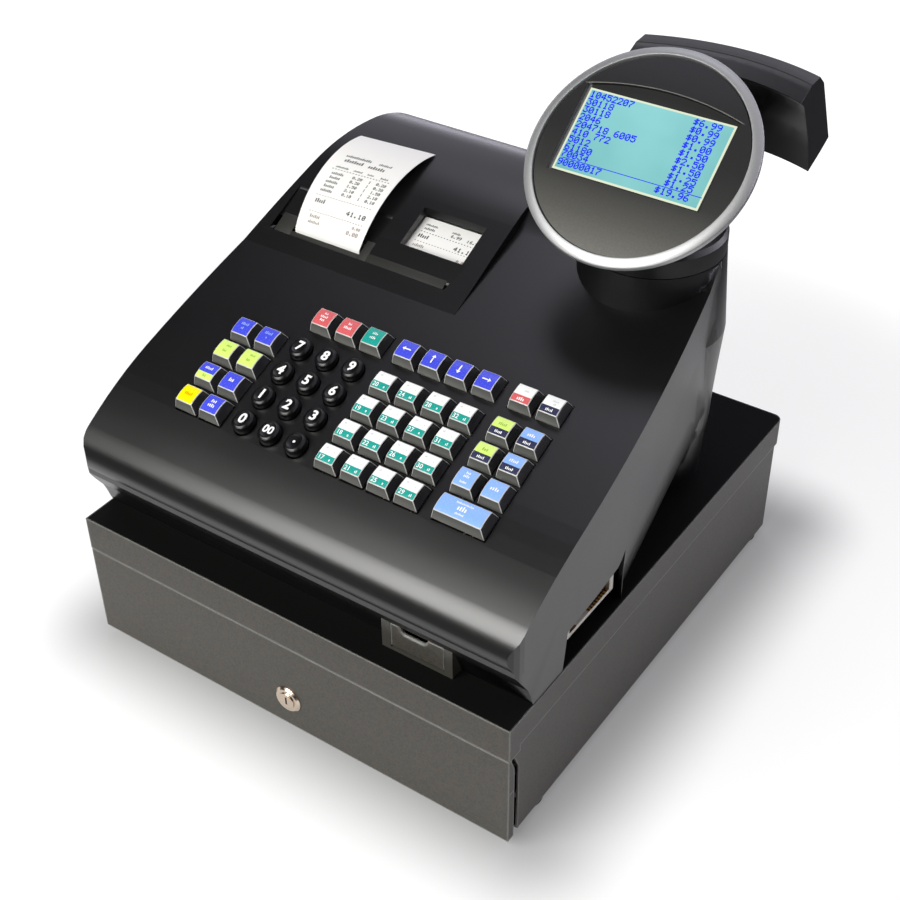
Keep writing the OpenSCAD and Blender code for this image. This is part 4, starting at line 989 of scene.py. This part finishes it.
# left and right ends, then the section as (y, z); cabinet millimetres
longSlope = [(199.15, 249.9), (199.15, 250.5), (206.4, 254.75), (214.5, 259.2), (214.5, 258.3), (206.4, 253.9)]
tearLips = {
    "tear_lip_left": ((-157.5, -143.0), longSlope),
    "tear_lip_slot": ((-143.0, -81.6), [(199.15, 249.9), (199.15, 250.5), (203.7, 253.1), (203.7, 252.2)]),
    "tear_lip_middle": ((-81.6, -74.4), longSlope),
    "tear_lip_right": ((-74.4, -7.4), [(199.15, 249.9), (199.15, 250.5), (206.4, 254.75), (206.4, 254.0)]),
}

def tearLip(name, ends, section):
    lip = begun(name, bpy.ops.mesh.primitive_circle_add, vertices=len(section), radius=1, fill_type="NGON")
    for v, (y, z) in zip(lip.data.vertices, section):
        v.co = (ends[0], y, z)
    mode("EDIT")
    pick("SELECT")
    bpy.ops.mesh.extrude_region_move(TRANSFORM_OT_translate={"value": (ends[1] - ends[0], 0, 0)})
    pick("SELECT")
    bpy.ops.mesh.normals_make_consistent(inside=False)
    mode("OBJECT")
    rounded(lip, 0.12, 2, 30)
    lip.data.transform(cabinetSpace)
    lip.data.materials.append(litLipFinish)
    smoothed(lip, 30)
    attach(lip, "printer_cover")

# painted light: the lip is painted grey, lighter than the black case, where its sloping face catches the light
litLipFinish = lacquer("lipPlasticLit", tint(42, 42, 39), 0.42)
for name, (ends, section) in tearLips.items():
    tearLip(name, ends, section)

# ---- camera, floor and light ----
print("stage")
shot = {"place": (0.50844, -0.73732, 0.81304), "looksAt": (0.010465, -0.03155, 0.14503),
        "lens": 61.03, "roll": -0.87}

def makeCamera():
    data = bpy.data.cameras.new("camera")
    data.lens, data.sensor_width = shot["lens"], 36
    data.clip_start, data.clip_end = 0.01, 50
    camera = bpy.data.objects.new("camera", data)
    scene.collection.objects.link(camera)
    place, target = Vector(shot["place"]), Vector(shot["looksAt"])
    turn = (target - place).to_track_quat("-Z", "Y").to_matrix().to_4x4()
    camera.matrix_world = Matrix.Translation(place) @ turn @ Matrix.Rotation(math.radians(shot["roll"]), 4, "Z")
    scene.camera = camera

def softbox(name, place, target, size, power, colour):
    data = bpy.data.lights.new(name, "AREA")
    data.shape, data.size, data.size_y, data.energy, data.color = "RECTANGLE", size[0], size[1], power, colour
    light = bpy.data.objects.new(name, data)
    scene.collection.objects.link(light)
    light.location = place
    light.rotation_euler = (Vector(target) - Vector(place)).to_track_quat("-Z", "Y").to_euler()
    return light

def paleFloor():
    # pale where the object stands; towards the viewer it falls into the unlit front of the studio
    floor = begun("floor", bpy.ops.mesh.primitive_plane_add, size=14, location=(0, 0, 0))
    f = Finish("floorPaper", (0.86, 0.86, 0.86), {"Roughness": 0.9, "Specular IOR Level": 0.1})
    x, y, z = f.axes()

    def ramp(value, start, end):
        values = {"Value": value, "From Min": start, "From Max": end}
        return f.node("ShaderNodeMapRange", {"interpolation_type": "SMOOTHSTEP"}, values)

    def outside(value, half):
        # how far a coordinate lies beyond plus or minus half
        return (value.alone("ABSOLUTE") - half).most(0.0)

    fade = ramp(spanned(x, y), 0.47, 0.66).most(ramp(y, -0.30, -0.42))
    f.feed("Base Color", f.between(fade, (0.86, 0.86, 0.86), (0.1, 0.1, 0.1)))
    # the soft contact shade round the feet
    beside = spanned(outside(x, 0.178), outside(y, 0.190))
    shade = f.between(ramp(beside, 0.0, 0.085), (0.30, 0.30, 0.30), (1.16, 1.16, 1.16))
    rays = f.node("ShaderNodeLightPath").socket.node
    direct = Wire(f, rays.outputs["Is Camera Ray"])
    glossy = Wire(f, rays.outputs["Is Glossy Ray"])
    white = f.node("ShaderNodeEmission", {}, {"Color": shade, "Strength": 1.0})
    f.cover(direct * (0.66 + 0.34 * fade) + glossy * (0.5 - 0.5 * fade), white)
    floor.data.materials.append(f.material)

# The studio beyond the softbox: a lit rear that starts across an oblique line, a weak patch high on
# the left and a bright band along the rear horizon
studio = {"across": (0.4, 1.0, 0.205), "from": 0.255, "to": 0.35, "lit": 0.66,
          "patch": (-0.3165, 0.3255, 0.891), "patchLevel": 2.3, "band": 3.0, "bandTop": 0.24}

def studioWorld():
    world = bpy.data.worlds.new("studio")
    scene.world = world
    world.use_nodes = True
    tree = world.node_tree
    k = studio

    def node(kind, settings, values, output=0):
        made = tree.nodes.new(kind)
        for name, value in settings.items():
            setattr(made, name, value)
        for name, value in values.items():
            if isinstance(value, bpy.types.NodeSocket):
                tree.links.new(value, made.inputs[name])
            else:
                made.inputs[name].default_value = value
        return made.outputs[output]

    def along(direction):
        return node("ShaderNodeVectorMath", {"operation": "DOT_PRODUCT"}, {0: aim, 1: direction}, "Value")

    def ramp(value, start, end, low, high):
        values = {"Value": value, "From Min": start, "From Max": end, "To Min": low, "To Max": high}
        return node("ShaderNodeMapRange", {"interpolation_type": "SMOOTHSTEP"}, values)

    def maths(operation, first, second):
        return node("ShaderNodeMath", {"operation": operation}, {0: first, 1: second})

    aim = node("ShaderNodeTexCoord", {}, {}, "Generated")
    rear = ramp(along(k["across"]), k["from"], k["to"], 0.0, k["lit"])
    patch = ramp(along(k["patch"]), 0.975, 1.0, 0.0, k["patchLevel"])
    low = ramp(along((0, 0, 1)), 0.0, k["bandTop"], k["band"], 0.0)
    band = maths("MULTIPLY", low, ramp(along((0, 1, 0)), 0.0, 0.33, 0.0, 1.0))
    level = maths("ADD", maths("ADD", rear, patch), band)
    sky = node("ShaderNodeVectorMath", {"operation": "SCALE"}, {0: (0.97, 0.95, 1.08), "Scale": level})
    seen = node("ShaderNodeLightPath", {}, {}, "Is Camera Ray")
    shown = node("ShaderNodeMix", {"data_type": "RGBA"}, {0: seen, 6: sky, 7: (1, 1, 1, 1)}, 2)
    background = next(n for n in tree.nodes if n.type == "BACKGROUND")
    tree.links.new(shown, background.inputs["Color"])

def aimed(azimuth, height, distance, middle=(0, 0, 0.2)):
    # a place seen from the object's middle; azimuth 0 is the front, +90 the right
    a, h = math.radians(azimuth), math.radians(height)
    towards = (math.sin(a) * math.cos(h), -math.cos(a) * math.cos(h), math.sin(h))
    return tuple(m + distance * d for m, d in zip(middle, towards))

makeCamera()
paleFloor()
studioWorld()
# one large softbox; a fifth of it shows only as gloss, so that colours keep their level
for name, distance, power, matte in (("frontBox", 1.9, 45, True), ("frontGloss", 1.91, 10, False)):
    lamp = softbox(name, aimed(-11.9, 36.2, distance), (0, 0, 0.2), (1.486, 1.243), power, (1.0, 0.995, 0.965))
    lamp.visible_diffuse = matte
scene.view_settings.view_transform = "Standard"

print("done")
